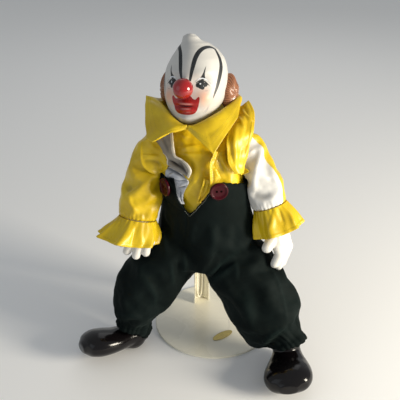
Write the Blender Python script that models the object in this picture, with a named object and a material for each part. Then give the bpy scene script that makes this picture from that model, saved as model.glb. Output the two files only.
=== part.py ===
"""A clown doll with a porcelain head, hands and shoes, in satin and velvet, held up by a metal doll stand.

The origin is the centre of the stand's underside, on the surface that everything stands on. The viewer looks
along +Y, so the doll's front is -Y and its left arm is on +X. Sizes are in millimetres, and a mesh is made in
metres.
"""

import math

import bmesh
import bpy
from mathutils import Matrix, Vector

MM = 0.001
FIT_GAP = 0.4           # between pieces that touch in the real doll
CLOTH = 1.8             # a sewn edge: two layers of satin with a turned hem

# The stand
BASE_RADIUS = 63.5
BASE_THICK = 2.0
BASE_EDGE_ROUND = 0.6
STAND_TURN = 23.0       # the stand faces this far to the viewer's right
POST_SETBACK = 42.0     # from the base's centre to the post's web
POST_HEIGHT = 122.0
POST_WEB = 8.0
POST_MOUTH = 17.5
POST_DEPTH = 9.0
POST_SHEET = 1.0
WIRE = 2.0
WIRE_LEGS_APART = 6.4
WIRE_FOOT = 2.5         # lowest point of the wire's bend above the base
CLAMP_HEIGHT = 150.0
CLAMP_START = 14.0      # where each arm starts and ends round the waist, in degrees from the back
CLAMP_REACH = 68.0
CLAMP_RISE = 2.0        # the arms' bow upwards
CLAMP_SLOPE = 14.0      # from the top of the wire's legs up to the arms
CLAMP_GRIP = 0.5        # between the wire and the velvet
RIVET_RADIUS = 1.0
RIVET_HEAD = 0.9
RIVET_UP = 7.0          # above the base
LABEL_LONG = 25.0
LABEL_WIDE = 9.5
LABEL_THICK = 0.3
LABEL_PLACE = (9.0, -29.0)
LABEL_TURN = 36.0

# The trunk: height, middle x and y, half width, half depth
BODY_TURN = -20.0       # the doll's trunk and head face this far to the viewer's left
TRUNK = [
    (84.0, -20.0, -18.0, 9.0, 13.0),
    (92.0, -16.0, -17.0, 27.0, 26.0),
    (102.0, -11.0, -16.0, 43.0, 34.0),
    (116.0, -8.0, -15.0, 48.5, 36.5),
    (132.0, -8.0, -14.5, 47.0, 35.0),
    (150.0, -9.0, -14.0, 42.5, 32.5),
    (172.0, -11.0, -14.0, 40.5, 33.0),
    (194.0, -14.0, -14.0, 41.0, 33.5),
    (210.0, -17.0, -12.0, 43.0, 31.0),
    (222.0, -19.0, -9.5, 42.0, 26.0),
    (232.0, -20.0, -7.0, 33.0, 20.0),
    (240.0, -20.0, -5.5, 19.0, 16.0),
]
VELVET = 2.6            # the bib's wall over the blouse
BLOUSE_FOOT = 152.0
BIB_V_FOOT = 161.0
BIB_V_AT = -5.0         # degrees from the middle of the front, as for every angle on the trunk
BIB_POINT = 197.0
BIB_POINT_AT = 36.0
BIB_SIDE = 188.0
BIB_BACK = 194.0
TRIM_OVER = 6.0         # how far the tool that trims the bib's edge reaches past the velvet
BUTTON_RADIUS = 8.6
BUTTON_THICK = 3.0
BUTTON_HOLE = 1.1
BUTTON_HOLES_APART = 4.2
BUTTON_SAG = 1.2        # the bib's curve behind a flat button
BUTTON_DROP = 10.5      # from the bib's point down to a button's middle

# Legs and sleeves: x, y, z, half width, half depth down each limb
RIGHT_LEG = [
    (-31.0, -18.0, 113.0, 28.0, 30.0),
    (-49.0, -24.0, 95.0, 29.5, 32.0),
    (-65.0, -32.0, 76.0, 30.5, 31.0),
    (-75.5, -39.0, 58.0, 28.5, 27.0),
    (-82.0, -44.0, 43.0, 21.5, 20.0),
    (-85.0, -46.0, 34.0, 14.5, 14.0),
    (-86.5, -47.0, 28.0, 19.0, 17.5),
]
LEFT_LEG = [
    (9.0, -18.0, 113.0, 30.0, 30.0),
    (22.0, -29.0, 95.0, 33.5, 33.0),
    (36.0, -42.0, 76.0, 35.5, 34.0),
    (48.0, -54.0, 59.0, 36.0, 32.0),
    (60.0, -63.0, 45.0, 32.5, 26.0),
    (70.5, -71.0, 35.5, 17.5, 16.0),
    (73.5, -73.5, 29.0, 20.5, 19.0),
]
# The cloth's lowest folds inside each leg: middle and half sizes
RIGHT_LEG_SAG = ((-74.0, -43.0, 24.0), (10.0, 11.0, 14.0))
LEFT_LEG_SAG = ((44.0, -62.0, 30.0), (15.0, 13.0, 14.0))
RIGHT_SLEEVE = [
    (-49.0, -7.0, 220.0, 13.0, 12.0),
    (-58.0, -9.0, 212.0, 16.5, 15.5),
    (-66.0, -15.0, 191.0, 18.5, 17.5),
    (-71.0, -22.0, 169.0, 20.5, 19.0),
    (-75.0, -29.0, 147.0, 18.5, 17.5),
]
LEFT_SLEEVE = [
    (12.0, -6.0, 223.0, 13.0, 12.0),
    (24.0, -8.0, 215.0, 17.0, 16.0),
    (36.0, -14.0, 197.0, 19.0, 18.0),
    (45.0, -20.0, 178.0, 19.5, 18.5),
    (52.0, -26.0, 159.0, 17.0, 17.0),
]
SLEEVE_FOLDS = 5
CUFF_LENGTH = 23.0
CUFF_WAVES = 7
RIGHT_CUFF = {"flare": 8.0, "wave": 3.5, "lean": (-6.0, -2.5, 3.5)}
LEFT_CUFF = {"flare": 5.5, "wave": 2.5, "lean": (1.0, -1.5, -1.0)}

# Hands: where the wrist and palm end, the way across the palm, the fingertips from the first finger on, how
# far the knuckles stand out, the thumb's joint and tip, and its radius at its root, joint and tip
FINGER_APART = 6.6
FINGER_RADIUS = (4.8, 4.6, 4.2)
PALM_RADIUS = (7.5, 6.5)
PALM_SPREAD = (3.0, 7.5)
WRIST_RADIUS = 9.0
RIGHT_HAND = {
    "wrist": (-75.0, -30.0, 143.0),
    "palm": (-75.0, -36.0, 132.0),
    "across": (-1.0, 0.12, -0.12),
    "tips": [(-66.9, -48.0, 119.5), (-76.4, -48.5, 116.5), (-85.4, -44.5, 119.0), (-91.0, -38.0, 124.0)],
    "knuckle": (0.0, -3.5, 0.0),
    "thumb": [(-68.0, -34.0, 135.0), (-62.5, -42.0, 127.5)],
    "thumb_radius": (6.0, 5.4, 4.4),
}
LEFT_HAND = {
    "wrist": (56.0, -30.0, 150.0),
    "palm": (63.5, -37.0, 126.0),
    "across": (0.48, 0.83, -0.05),
    "tips": [(57.0, -49.0, 107.0), (61.5, -45.5, 102.5), (65.5, -39.5, 102.5), (68.5, -33.5, 106.0)],
    "knuckle": (3.5, 0.0, 0.5),
    "thumb": [(55.0, -42.0, 132.5), (48.5, -51.0, 126.5)],
    "thumb_radius": (7.2, 6.4, 5.0),
}

# Collar: degrees from the front, roll radius and height, edge radius and height
COLLAR_MIDDLE = (-20.0, -6.0)
COLLAR_TURN = -10.2
COLLAR_NECK = (17.5, 240.5)
COLLAR = [
    (1.2, 35.5, 247.0, 38.0, 243.5),
    (27.0, 35.5, 251.0, 58.5, 231.5),
    (58.0, 35.5, 255.5, 45.5, 246.0),
    (95.0, 37.0, 259.0, 45.0, 257.0),
    (135.0, 37.0, 258.0, 46.5, 250.5),
    (180.0, 37.0, 257.0, 48.0, 246.0),
]

# Frills on the blouse: a point of the inner edge and one of the outer edge for each row, from the top
FRILL_BULGE = 3.0
RIGHT_FRONT_FRILL = [
    (-58.0, -27.0, 229.0, -41.5, -26.0, 234.0),
    (-52.8, -30.0, 217.0, -39.4, -36.4, 220.0),
    (-46.1, -34.0, 212.5, -34.0, -42.0, 215.5),
    (-45.2, -37.0, 204.5, -23.1, -51.0, 209.0),
    (-46.3, -37.5, 195.5, -25.5, -52.5, 199.5),
    (-38.5, -43.0, 186.5, -27.5, -50.0, 188.0),
    (-32.0, -46.0, 172.0, -27.0, -47.5, 171.0),
]
LEFT_FRONT_FRILL = [
    (-2.5, -46.0, 224.0, 7.5, -35.0, 230.0),
    (-7.0, -49.5, 214.5, 2.5, -46.0, 213.0),
    (-7.8, -53.0, 208.5, 1.5, -48.5, 205.5),
    (-7.5, -55.5, 198.5, 2.0, -50.0, 198.5),
    (-13.0, -54.5, 192.5, -5.0, -52.5, 191.5),
    (-17.0, -52.5, 182.5, -12.5, -52.0, 183.0),
    (-19.5, -49.5, 173.5, -16.5, -49.5, 175.0),
]
RIGHT_SHOULDER_FRILL = [
    (-66.0, -14.0, 233.0, -57.0, -25.0, 229.0),
    (-69.5, -18.0, 222.0, -53.5, -32.0, 218.0),
    (-68.5, -22.0, 213.0, -48.5, -36.0, 212.0),
    (-66.5, -27.0, 204.0, -46.0, -37.5, 205.0),
    (-58.0, -33.0, 196.5, -47.5, -38.0, 200.5),
]
LEFT_SHOULDER_FRILL = [
    (22.0, 3.0, 248.0, 30.0, 4.0, 253.5),
    (18.5, -11.0, 244.0, 34.5, -8.0, 247.0),
    (9.5, -32.0, 233.5, 34.0, -22.0, 236.5),
    (9.0, -41.0, 224.0, 29.5, -31.0, 223.5),
    (10.5, -46.0, 213.5, 25.5, -37.0, 210.0),
    (16.5, -46.5, 203.5, 25.0, -41.0, 201.0),
]

# The head
HEAD_MIDDLE = (-18.5, -3.0, 278.0)
HEAD_TURN = -18.0
HEAD_LIFT = 13.0
HEAD_LEAN = -3.0        # to the doll's right
NECK_RADIUS = 12.5
NECK_ROOT = (0.0, 3.0, -18.0)   # where the neck's middle meets the skull
NOSE_RADIUS = 9.0
NOSE_HEIGHT = -5.0
NOSE_PROUD = 0.62       # the share of its radius that the nose's middle stands off the face
FACE_CROWD = 0.42       # how much closer the points stand on the face than behind it
CROWN_CROWD = 0.075     # and near the chin and the crown
# Height above the eyes, half width, front and back of each ring of the skull, and how far it stands aside
SKULL = [
    (-38.5, 5.0, -21.0, -9.0, 0.0),
    (-36.5, 11.0, -25.0, -2.0, 0.0),
    (-32.0, 17.5, -27.5, 6.0, 0.0),
    (-25.0, 23.5, -28.5, 16.0, 0.0),
    (-15.0, 27.5, -29.0, 24.0, 0.0),
    (-3.0, 29.0, -28.5, 28.5, 0.0),
    (9.0, 27.5, -28.0, 28.5, 0.5),
    (19.0, 23.5, -25.5, 25.5, 1.5),
    (27.0, 17.5, -21.5, 20.0, 1.0),
    (32.0, 12.0, -17.5, 12.0, -0.5),
    (34.5, 8.5, -15.0, 2.5, -2.5),
    (37.5, 6.5, -13.0, -0.5, -3.5),
    (39.5, 3.5, -10.5, -3.5, -3.5),
]
# Raised and sunk places of the face: x, z, how far out, half width, half height. Those aside come in pairs.
FACE = [
    (13.0, -1.0, -2.4, 6.5, 5.0),
    (13.0, -2.0, 1.9, 4.6, 3.2),
    (12.5, 8.0, 1.1, 8.0, 3.5),
    (16.5, -14.5, 2.4, 6.5, 6.5),
    (0.0, -2.0, 2.0, 4.0, 7.0),
    (0.0, -18.2, 1.9, 8.5, 1.9),
    (0.0, -24.6, 2.3, 7.5, 2.2),
    (0.0, -21.4, -1.3, 8.5, 1.1),
    (0.0, -29.0, -1.0, 8.0, 1.8),
    (0.0, -33.0, 1.8, 7.0, 3.6),
]
TUFT_MIDDLE = (28.5, 9.5, -6.0)
TUFT_SIZE = (7.5, 11.5, 14.5)
TUFT_CURLS = 6

# Shoes: along the shoe from the heel's back: half width, sole height, top height
SHOE = [
    (0.0, 4.0, 4.0, 12.0),
    (4.0, 10.5, 1.0, 18.0),
    (13.0, 13.5, 0.0, 21.0),
    (25.0, 16.5, 0.5, 22.0),
    (36.0, 20.5, 0.0, 23.0),
    (47.0, 23.0, 0.0, 26.0),
    (58.0, 23.0, 1.0, 27.5),
    (67.0, 18.5, 4.0, 25.0),
    (73.0, 8.5, 9.0, 19.5),
]
ANKLE_AT = 15.0
ANKLE_ROOT = (2.0, 9.0) # ahead of the ankle and up, where its rod starts in the shoe
ANKLE_RADIUS = (14.3, 12.8)
ANKLE_LEAN = 1.5        # backwards
ANKLE_TOP = 34.0
SOLE_FLAT = 0.5         # how much of the sole's curve is worn flat
# Where each heel's middle stands, the way the toe points, and the roll on to the sole's edge
RIGHT_SHOE = {"heel": (-81.5, -43.5), "toe": 210.0, "roll": 22.0}
LEFT_SHOE = {"heel": (74.0, -70.0), "toe": 266.0, "roll": 10.0}


# Small tools for shapes

def smooth_row(rows, share):
    """The row of numbers at a share of the way along, on a smooth curve through evenly spaced rows."""
    place = min(max(share, 0.0), 1.0) * (len(rows) - 1)
    i = min(int(place), len(rows) - 2)
    t = place - i
    before, here = rows[max(i - 1, 0)], rows[i]
    there, after = rows[i + 1], rows[min(i + 2, len(rows) - 1)]
    return [
        0.5 * (2 * b + (c - a) * t + (2 * a - 5 * b + 4 * c - d) * t * t + (3 * b - a - 3 * c + d) * t ** 3)
        for a, b, c, d in zip(before, here, there, after)
    ]


def row_at(rows, key):
    """The row whose first number is key, between rows of rising first numbers."""
    place = 0.0
    for i in range(len(rows) - 1):
        if key >= rows[i][0]:
            place = i + min((key - rows[i][0]) / (rows[i + 1][0] - rows[i][0]), 1.0)
    return smooth_row(rows, place / (len(rows) - 1))


def turn_z(x, y, degrees):
    a = math.radians(degrees)
    return x * math.cos(a) - y * math.sin(a), x * math.sin(a) + y * math.cos(a)


def bump(x, centre, width):
    return math.exp(-(((x - centre) / width) ** 2))


def finish_of(name, colour, roughness, metallic=0.0):
    made = bpy.data.materials.get(name)
    if made is None:
        made = bpy.data.materials.new(name)
        made.use_nodes = True
        shader = made.node_tree.nodes["Principled BSDF"]
        shader.inputs["Base Color"].default_value = (*colour, 1.0)
        shader.inputs["Roughness"].default_value = roughness
        shader.inputs["Metallic"].default_value = metallic
    return made


PORCELAIN = ("porcelain", (0.86, 0.84, 0.80), 0.25)
YELLOW_SATIN = ("yellow_satin", (0.86, 0.66, 0.03), 0.40)
WHITE_SATIN = ("white_satin", (0.86, 0.86, 0.84), 0.40)
GREEN_VELVET = ("green_velvet", (0.006, 0.022, 0.018), 0.90)
BLACK_GLAZE = ("black_glaze", (0.010, 0.009, 0.009), 0.12)
BUTTON_RED = ("button_red", (0.13, 0.008, 0.016), 0.25)
CREAM_ENAMEL = ("cream_enamel", (0.82, 0.80, 0.70), 0.22)
GOLD_FOIL = ("gold_foil", (0.60, 0.50, 0.20), 0.35, 1.0)


def object_of(name, points, faces, finish):
    """A closed mesh from points in millimetres, facing out."""
    mesh = bpy.data.meshes.new(name)
    mesh.from_pydata([Vector(p) * MM for p in points], [], faces)
    work = bmesh.new()
    work.from_mesh(mesh)
    bmesh.ops.recalc_face_normals(work, faces=work.faces)
    if work.calc_volume(signed=True) < 0:
        bmesh.ops.reverse_faces(work, faces=work.faces)
    bmesh.ops.triangulate(work, faces=[f for f in work.faces if len(f.verts) > 4])
    work.to_mesh(mesh)
    work.free()
    mesh.shade_smooth()
    mesh.set_sharp_from_angle(angle=math.radians(40))
    made = bpy.data.objects.new(name, mesh)
    made.data.materials.append(finish_of(*finish))
    bpy.context.scene.collection.objects.link(made)
    return made


def solid_of_rings(name, rings, finish):
    """A closed solid through rings of points, with a point in the middle of each end."""
    sides = len(rings[0])
    points = [p for ring in rings for p in ring]
    faces = [
        (r * sides + i, r * sides + (i + 1) % sides, (r + 1) * sides + (i + 1) % sides, (r + 1) * sides + i)
        for r in range(len(rings) - 1)
        for i in range(sides)
    ]
    for ring, start in ((rings[0], 0), (rings[-1], (len(rings) - 1) * sides)):
        middle = sum((Vector(p) for p in ring), Vector()) / sides
        points.append(middle)
        faces += [(start + i, start + (i + 1) % sides, len(points) - 1) for i in range(sides)]
    return object_of(name, points, faces, finish)


def solid_of_sheet(name, rows, thickness, finish, closed=False):
    """A solid of even thickness on both sides of a grid of points. In a closed one the columns go round."""
    grid = [[Vector(p) for p in row] for row in rows]
    high, wide = len(grid), len(grid[0])

    def normal(r, c):
        up = grid[min(r + 1, high - 1)][c] - grid[max(r - 1, 0)][c]
        if closed:
            across = grid[r][(c + 1) % wide] - grid[r][c - 1]
        else:
            across = grid[r][min(c + 1, wide - 1)] - grid[r][max(c - 1, 0)]
        return across.cross(up).normalized()

    half = [[normal(r, c) * thickness / 2 for c in range(wide)] for r in range(high)]
    points = [grid[r][c] + half[r][c] for r in range(high) for c in range(wide)]
    points += [grid[r][c] - half[r][c] for r in range(high) for c in range(wide)]
    back = high * wide
    last = wide if closed else wide - 1
    faces = []
    for r in range(high - 1):
        for c in range(last):
            d = (c + 1) % wide
            a, b, e, f = r * wide + c, r * wide + d, (r + 1) * wide + d, (r + 1) * wide + c
            faces += [(a, b, e, f), (back + f, back + e, back + b, back + a)]
    for r, first in ((0, True), (high - 1, False)):
        for c in range(last):
            a, b = r * wide + c, r * wide + (c + 1) % wide
            faces.append((back + a, back + b, b, a) if first else (a, b, back + b, back + a))
    if not closed:
        for c, first in ((0, True), (wide - 1, False)):
            for r in range(high - 1):
                a, b = r * wide + c, (r + 1) * wide + c
                faces.append((a, b, back + b, back + a) if first else (back + a, back + b, b, a))
    return object_of(name, points, faces, finish)


def limb_frame(stations, share):
    """Middle, sideways and frontward directions and half sizes of a limb at a share of its length."""
    x, y, z, wide, deep = smooth_row(stations, share)
    ahead = Vector(smooth_row(stations, share + 0.02)[:3]) - Vector(smooth_row(stations, share - 0.02)[:3])
    ahead.normalize()
    side = ahead.cross(Vector((0, -1, 0))).normalized()
    if side.x < 0:
        side.negate()
    front = side.cross(ahead)
    if front.y > 0:
        front.negate()
    return Vector((x, y, z)), side, front, wide, deep, ahead


def limb_rings(stations, rows, sides, fold_of, start=0.0, end=1.0):
    rings = []
    for r in range(rows):
        share = start + (end - start) * r / (rows - 1)
        middle, side, front, wide, deep, _ = limb_frame(stations, share)
        ring = []
        for i in range(sides):
            angle = math.tau * i / sides
            out = 1.0 + fold_of(angle, share)
            ring.append(middle + side * wide * out * math.cos(angle) + front * deep * out * math.sin(angle))
        rings.append(ring)
    return rings


def trunk_point(degrees, z, out=0.0):
    """A point on the trunk at an angle from the middle of its front, moved out by some millimetres."""
    _, middle_x, middle_y, wide, deep = row_at(TRUNK, z)
    a = math.radians(degrees)
    x, y = turn_z((wide + out) * math.sin(a), -(deep + out) * math.cos(a), BODY_TURN)
    return Vector((middle_x + x, middle_y + y, z))


# Joining and cutting

def evaluated_mesh(made):
    graph = bpy.context.evaluated_depsgraph_get()
    return bpy.data.meshes.new_from_object(made.evaluated_get(graph))


def largest_piece(mesh):
    """Deletes all but the largest connected part of a mesh."""
    work = bmesh.new()
    work.from_mesh(mesh)
    left, pieces = set(work.verts), []
    while left:
        piece, edge = set(), [left.pop()]
        while edge:
            v = edge.pop()
            piece.add(v)
            for e in v.link_edges:
                w = e.other_vert(v)
                if w in left:
                    left.remove(w)
                    edge.append(w)
        pieces.append(piece)
    keep = max(pieces, key=len)
    bmesh.ops.delete(work, geom=[v for p in pieces if p is not keep for v in p], context="VERTS")
    work.to_mesh(mesh)
    work.free()


def combine(made, others, operation, solver="EXACT"):
    """Joins others to an object, or cuts them from it. The others are used up."""
    for other in others:
        modifier = made.modifiers.new("with " + other.name, "BOOLEAN")
        modifier.operation = operation
        modifier.object = other
        modifier.solver = solver
        mesh = evaluated_mesh(made)
        made.modifiers.remove(modifier)
        largest_piece(mesh)
        mesh.shade_smooth()
        mesh.set_sharp_from_angle(angle=math.radians(40))
        made.data = mesh
        bpy.data.objects.remove(other)
    return made


def grown(other, gap):
    """A copy of an object, a little larger all round, to cut with."""
    copy = other.copy()
    copy.data = other.data.copy()
    copy.name = "cutter"
    bpy.context.scene.collection.objects.link(copy)
    work = bmesh.new()
    work.from_mesh(copy.data)
    work.normal_update()
    moves = [(v, v.normal.copy()) for v in work.verts]
    for v, normal in moves:
        v.co += normal * gap * MM
    work.to_mesh(copy.data)
    work.free()
    return copy


def clear_of(made, *neighbours, gap=FIT_GAP):
    """Cuts an object back to leave a gap. Grown copies may cross themselves at a corner, and EXACT fails."""
    return combine(made, [grown(n, gap) for n in neighbours], "DIFFERENCE", "MANIFOLD")


def thinned(made, triangles):
    """Lowers the count of triangles, keeping the form."""
    count = sum(len(p.vertices) - 2 for p in made.data.polygons)
    modifier = made.modifiers.new("thin", "DECIMATE")
    modifier.ratio = min(1.0, triangles / count)
    mesh = evaluated_mesh(made)
    made.modifiers.remove(modifier)
    made.data = mesh
    return made


def melted(name, pieces, voxel, triangles, finish, soften=6):
    """One smooth skin over pieces that overlap."""
    work = bmesh.new()
    for piece in pieces:
        copy = piece.data.copy()
        copy.transform(piece.matrix_world)
        work.from_mesh(copy)
        bpy.data.meshes.remove(copy)
        bpy.data.objects.remove(piece)
    mesh = bpy.data.meshes.new(name)
    work.to_mesh(mesh)
    work.free()
    made = bpy.data.objects.new(name, mesh)
    bpy.context.scene.collection.objects.link(made)
    remesh = made.modifiers.new("skin", "REMESH")
    remesh.mode = "VOXEL"
    remesh.voxel_size = voxel * MM
    smooth = made.modifiers.new("soften", "SMOOTH")
    smooth.factor = 0.5
    smooth.iterations = soften
    made.data = evaluated_mesh(made)
    made.modifiers.clear()
    largest_piece(made.data)
    thinned(made, triangles)
    made.data.materials.clear()
    made.data.materials.append(finish_of(*finish))
    made.data.shade_smooth()
    return made


def ball(name, middle, sizes, finish, sides=14, rows=9, shape=None):
    """An egg-shaped solid. The shape function gives the share that each direction is moved out by."""
    rings = []
    for r in range(1, rows):
        polar = math.pi * r / rows
        ring = []
        for i in range(sides):
            angle = math.tau * i / sides
            flat = math.sin(polar)
            way = Vector((flat * math.cos(angle), flat * math.sin(angle), math.cos(polar)))
            out = 1.0 + (shape(way) if shape else 0.0)
            ring.append(Vector(middle) + Vector(way[k] * sizes[k] * out for k in range(3)))
        rings.append(ring)
    made = solid_of_rings(name, rings, finish)
    poles = made.data.vertices
    top = Vector(middle) + Vector((0, 0, sizes[2] * (1.0 + (shape(Vector((0, 0, 1))) if shape else 0.0))))
    foot = Vector(middle) - Vector((0, 0, sizes[2] * (1.0 + (shape(Vector((0, 0, -1))) if shape else 0.0))))
    poles[len(poles) - 2].co = top * MM
    poles[len(poles) - 1].co = foot * MM
    return made


def rod(name, start, end, radius, finish, sides=10, end_radius=None):
    """A straight finger-like rod with round ends."""
    start, end = Vector(start), Vector(end)
    last = radius if end_radius is None else end_radius
    ahead = (end - start).normalized()
    side = ahead.cross(Vector((0.3, -1, 0.2))).normalized()
    other = ahead.cross(side)
    turns = [math.tau * i / sides for i in range(sides)]
    ways = [side * math.cos(a) + other * math.sin(a) for a in turns]
    rings = []
    for middle, size, turns in ((start, radius, (-75, -45, -15)), (end, last, (15, 45, 75))):
        for turn in turns:
            a = math.radians(turn)
            rings.append([middle + ahead * size * math.sin(a) + way * size * math.cos(a) for way in ways])
    return solid_of_rings(name, rings, finish)


# The stand

def stand_point(side, back, z):
    """A point by its distance to the stand's left and behind its middle."""
    x, y = turn_z(side, back, STAND_TURN)
    return Vector((x, y, z))


def make_stand():
    """Everything of the stand. Returns the two pieces that come near the clothes."""
    profile = [
        (BASE_RADIUS - BASE_EDGE_ROUND, 0.0),
        (BASE_RADIUS, BASE_EDGE_ROUND),
        (BASE_RADIUS, BASE_THICK - BASE_EDGE_ROUND),
        (BASE_RADIUS - BASE_EDGE_ROUND, BASE_THICK),
    ]
    sides = 36
    rings = [
        [Vector((*turn_z(radius, 0.0, 360.0 * i / sides), z)) for i in range(sides)]
        for radius, z in profile
    ]
    solid_of_rings("stand_base", rings, CREAM_ENAMEL)

    front = POST_SETBACK - POST_DEPTH
    line = [
        (-POST_MOUTH / 2, front),
        (-POST_WEB / 2, POST_SETBACK),
        (POST_WEB / 2, POST_SETBACK),
        (POST_MOUTH / 2, front),
    ]
    foot, top = BASE_THICK + FIT_GAP, POST_HEIGHT
    rows = [[stand_point(side, back, z) for side, back in line] for z in (foot, top)]
    post = solid_of_sheet("stand_post", rows, POST_SHEET, CREAM_ENAMEL)

    rivet_middle = stand_point(0, POST_SETBACK - POST_SHEET / 2 - FIT_GAP, BASE_THICK + RIVET_UP)
    outward = stand_point(0, -1, 0)
    side_way = stand_point(1, 0, 0)
    sides = 8
    rings = []
    for share, size in ((0.0, 1.0), (0.45, 0.92), (0.85, 0.55)):
        rings.append([
            rivet_middle + outward * RIVET_HEAD * share
            + (side_way * math.cos(math.tau * i / sides) + Vector((0, 0, math.sin(math.tau * i / sides))))
            * RIVET_RADIUS * size
            for i in range(sides)
        ])
    solid_of_rings("stand_rivet", rings, CREAM_ENAMEL)
    make_label()
    return [post, make_clamp()]


def clamp_route():
    """The wire's own line: one arm, down one leg, round the bend in the channel, and up to the other arm."""
    half = WIRE_LEGS_APART / 2
    away = WIRE / 2 + VELVET + FIT_GAP + CLAMP_GRIP
    back = POST_SETBACK - POST_SHEET / 2 - WIRE / 2 - FIT_GAP * 2
    foot = BASE_THICK + WIRE_FOOT
    steps = 9
    arms = {}
    for side in (-1, 1):
        arms[side] = []
        for i in range(steps):
            share = i / (steps - 1)
            degrees = 180.0 + side * (CLAMP_START + (CLAMP_REACH - CLAMP_START) * share)
            height = CLAMP_HEIGHT + CLAMP_RISE * math.sin(math.pi * share)
            arms[side].append(trunk_point(degrees, height, away))
    bend = [(1.0, 0.40), (4.0, 0.62), (11.0, 0.86), (24.0, 1.0)]
    legs = [(foot + up, spread) for up, spread in bend]
    legs += [(POST_HEIGHT * 0.6, 1.0), (POST_HEIGHT - WIRE, 1.0), (CLAMP_HEIGHT - CLAMP_SLOPE, 1.0)]
    right = [stand_point(-half * spread, back, z) for z, spread in legs]
    left = [stand_point(half * spread, back, z) for z, spread in reversed(legs)]
    return arms[-1][::-1] + left + [stand_point(0, back, foot)] + right + arms[1]


def make_clamp():
    knots = clamp_route()
    steps = 42
    route = [Vector(smooth_row([tuple(k) for k in knots], i / (steps - 1))) for i in range(steps)]
    curve = bpy.data.curves.new("stand_wire", "CURVE")
    curve.dimensions = "3D"
    spline = curve.splines.new("POLY")
    spline.points.add(steps - 1)
    for point, place in zip(spline.points, route):
        point.co = (*(place * MM), 1.0)
    curve.bevel_depth = WIRE / 2 * MM
    curve.bevel_resolution = 1
    curve.use_fill_caps = True
    wire = bpy.data.objects.new("stand_wire", curve)
    bpy.context.scene.collection.objects.link(wire)
    mesh = evaluated_mesh(wire)
    bpy.data.objects.remove(wire)
    work = bmesh.new()
    work.from_mesh(mesh)
    bmesh.ops.remove_doubles(work, verts=work.verts, dist=0.00002)
    bmesh.ops.recalc_face_normals(work, faces=work.faces)
    work.to_mesh(mesh)
    work.free()
    mesh.materials.clear()
    mesh.materials.append(finish_of(*CREAM_ENAMEL))
    mesh.shade_smooth()
    wire = bpy.data.objects.new("stand_wire", mesh)
    bpy.context.scene.collection.objects.link(wire)
    return wire


def make_label():
    sides = 24
    foot = BASE_THICK + FIT_GAP
    rings = []
    for z in (foot, foot + LABEL_THICK):
        ring = []
        for i in range(sides):
            a = math.tau * i / sides
            x, y = turn_z(LABEL_LONG / 2 * math.cos(a), LABEL_WIDE / 2 * math.sin(a), LABEL_TURN)
            ring.append(Vector((LABEL_PLACE[0] + x, LABEL_PLACE[1] + y, z)))
        rings.append(ring)
    solid_of_rings("gold_label", rings, GOLD_FOIL)


# Porcelain

def head_point(x, y, z):
    """From the head's own frame, with the eyes' height at 0, to the doll's."""
    lift = Matrix.Rotation(math.radians(-HEAD_LIFT), 3, "X")
    turn = Matrix.Rotation(math.radians(HEAD_TURN), 3, "Z")
    lean = Matrix.Rotation(math.radians(HEAD_LEAN), 3, "Y")
    return Vector(HEAD_MIDDLE) + lean @ turn @ lift @ Vector((x, y, z))


def skull_point(angle, z):
    """A point of the skull in its own frame, with the face's forms on its front."""
    _, wide, front, back, aside = row_at(SKULL, z)
    middle, deep = (front + back) / 2, (back - front) / 2
    x = wide * math.sin(angle)
    y = middle - deep * math.cos(angle)
    facing = max(0.0, math.cos(angle)) ** 0.5
    out = 0.0
    for place_x, place_z, height, half_wide, half_high in FACE:
        for side in ((-1, 1) if place_x else (1,)):
            out += height * bump(x, side * place_x, half_wide) * bump(z, place_z, half_high)
    return aside + x * (1.0 + 0.012 * out * facing), y - out * facing, z


def make_head():
    rows, sides = 19, 26
    low, high = SKULL[0][0], SKULL[-1][0]
    rings = []
    for r in range(rows):
        share = r / (rows - 1)
        z = low + (high - low) * (share - CROWN_CROWD * math.sin(math.tau * share))
        ring = []
        for i in range(sides):
            u = math.tau * i / sides
            ring.append(head_point(*skull_point(u - FACE_CROWD * math.sin(u), z)))
        rings.append(ring)
    head = solid_of_rings("head", rings, PORCELAIN)
    neck = rod("neck", head_point(*NECK_ROOT), (*COLLAR_MIDDLE, COLLAR_NECK[1]), NECK_RADIUS, PORCELAIN, 12)
    face_front = skull_point(0.0, NOSE_HEIGHT)[1]
    nose_middle = head_point(0, face_front - NOSE_RADIUS * NOSE_PROUD, NOSE_HEIGHT)
    nose = ball("nose", nose_middle, (NOSE_RADIUS,) * 3, PORCELAIN, 12, 8)
    parts = [neck, nose]
    for side in (-1, 1):
        parts.append(make_tuft(side))
    return combine(head, parts, "UNION")


def make_tuft(side):
    """A clump of moulded curls over an ear."""
    def curls(way):
        swirl = math.atan2(way.z, way.y) * 2 + way.z * TUFT_CURLS
        return 0.06 * math.cos(swirl)

    x, y, z = TUFT_MIDDLE
    tuft = ball("tuft", (side * x, y, z), TUFT_SIZE, PORCELAIN, 12, 9, curls)
    for v in tuft.data.vertices:
        v.co = head_point(*(v.co / MM)) * MM
    return tuft


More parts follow.
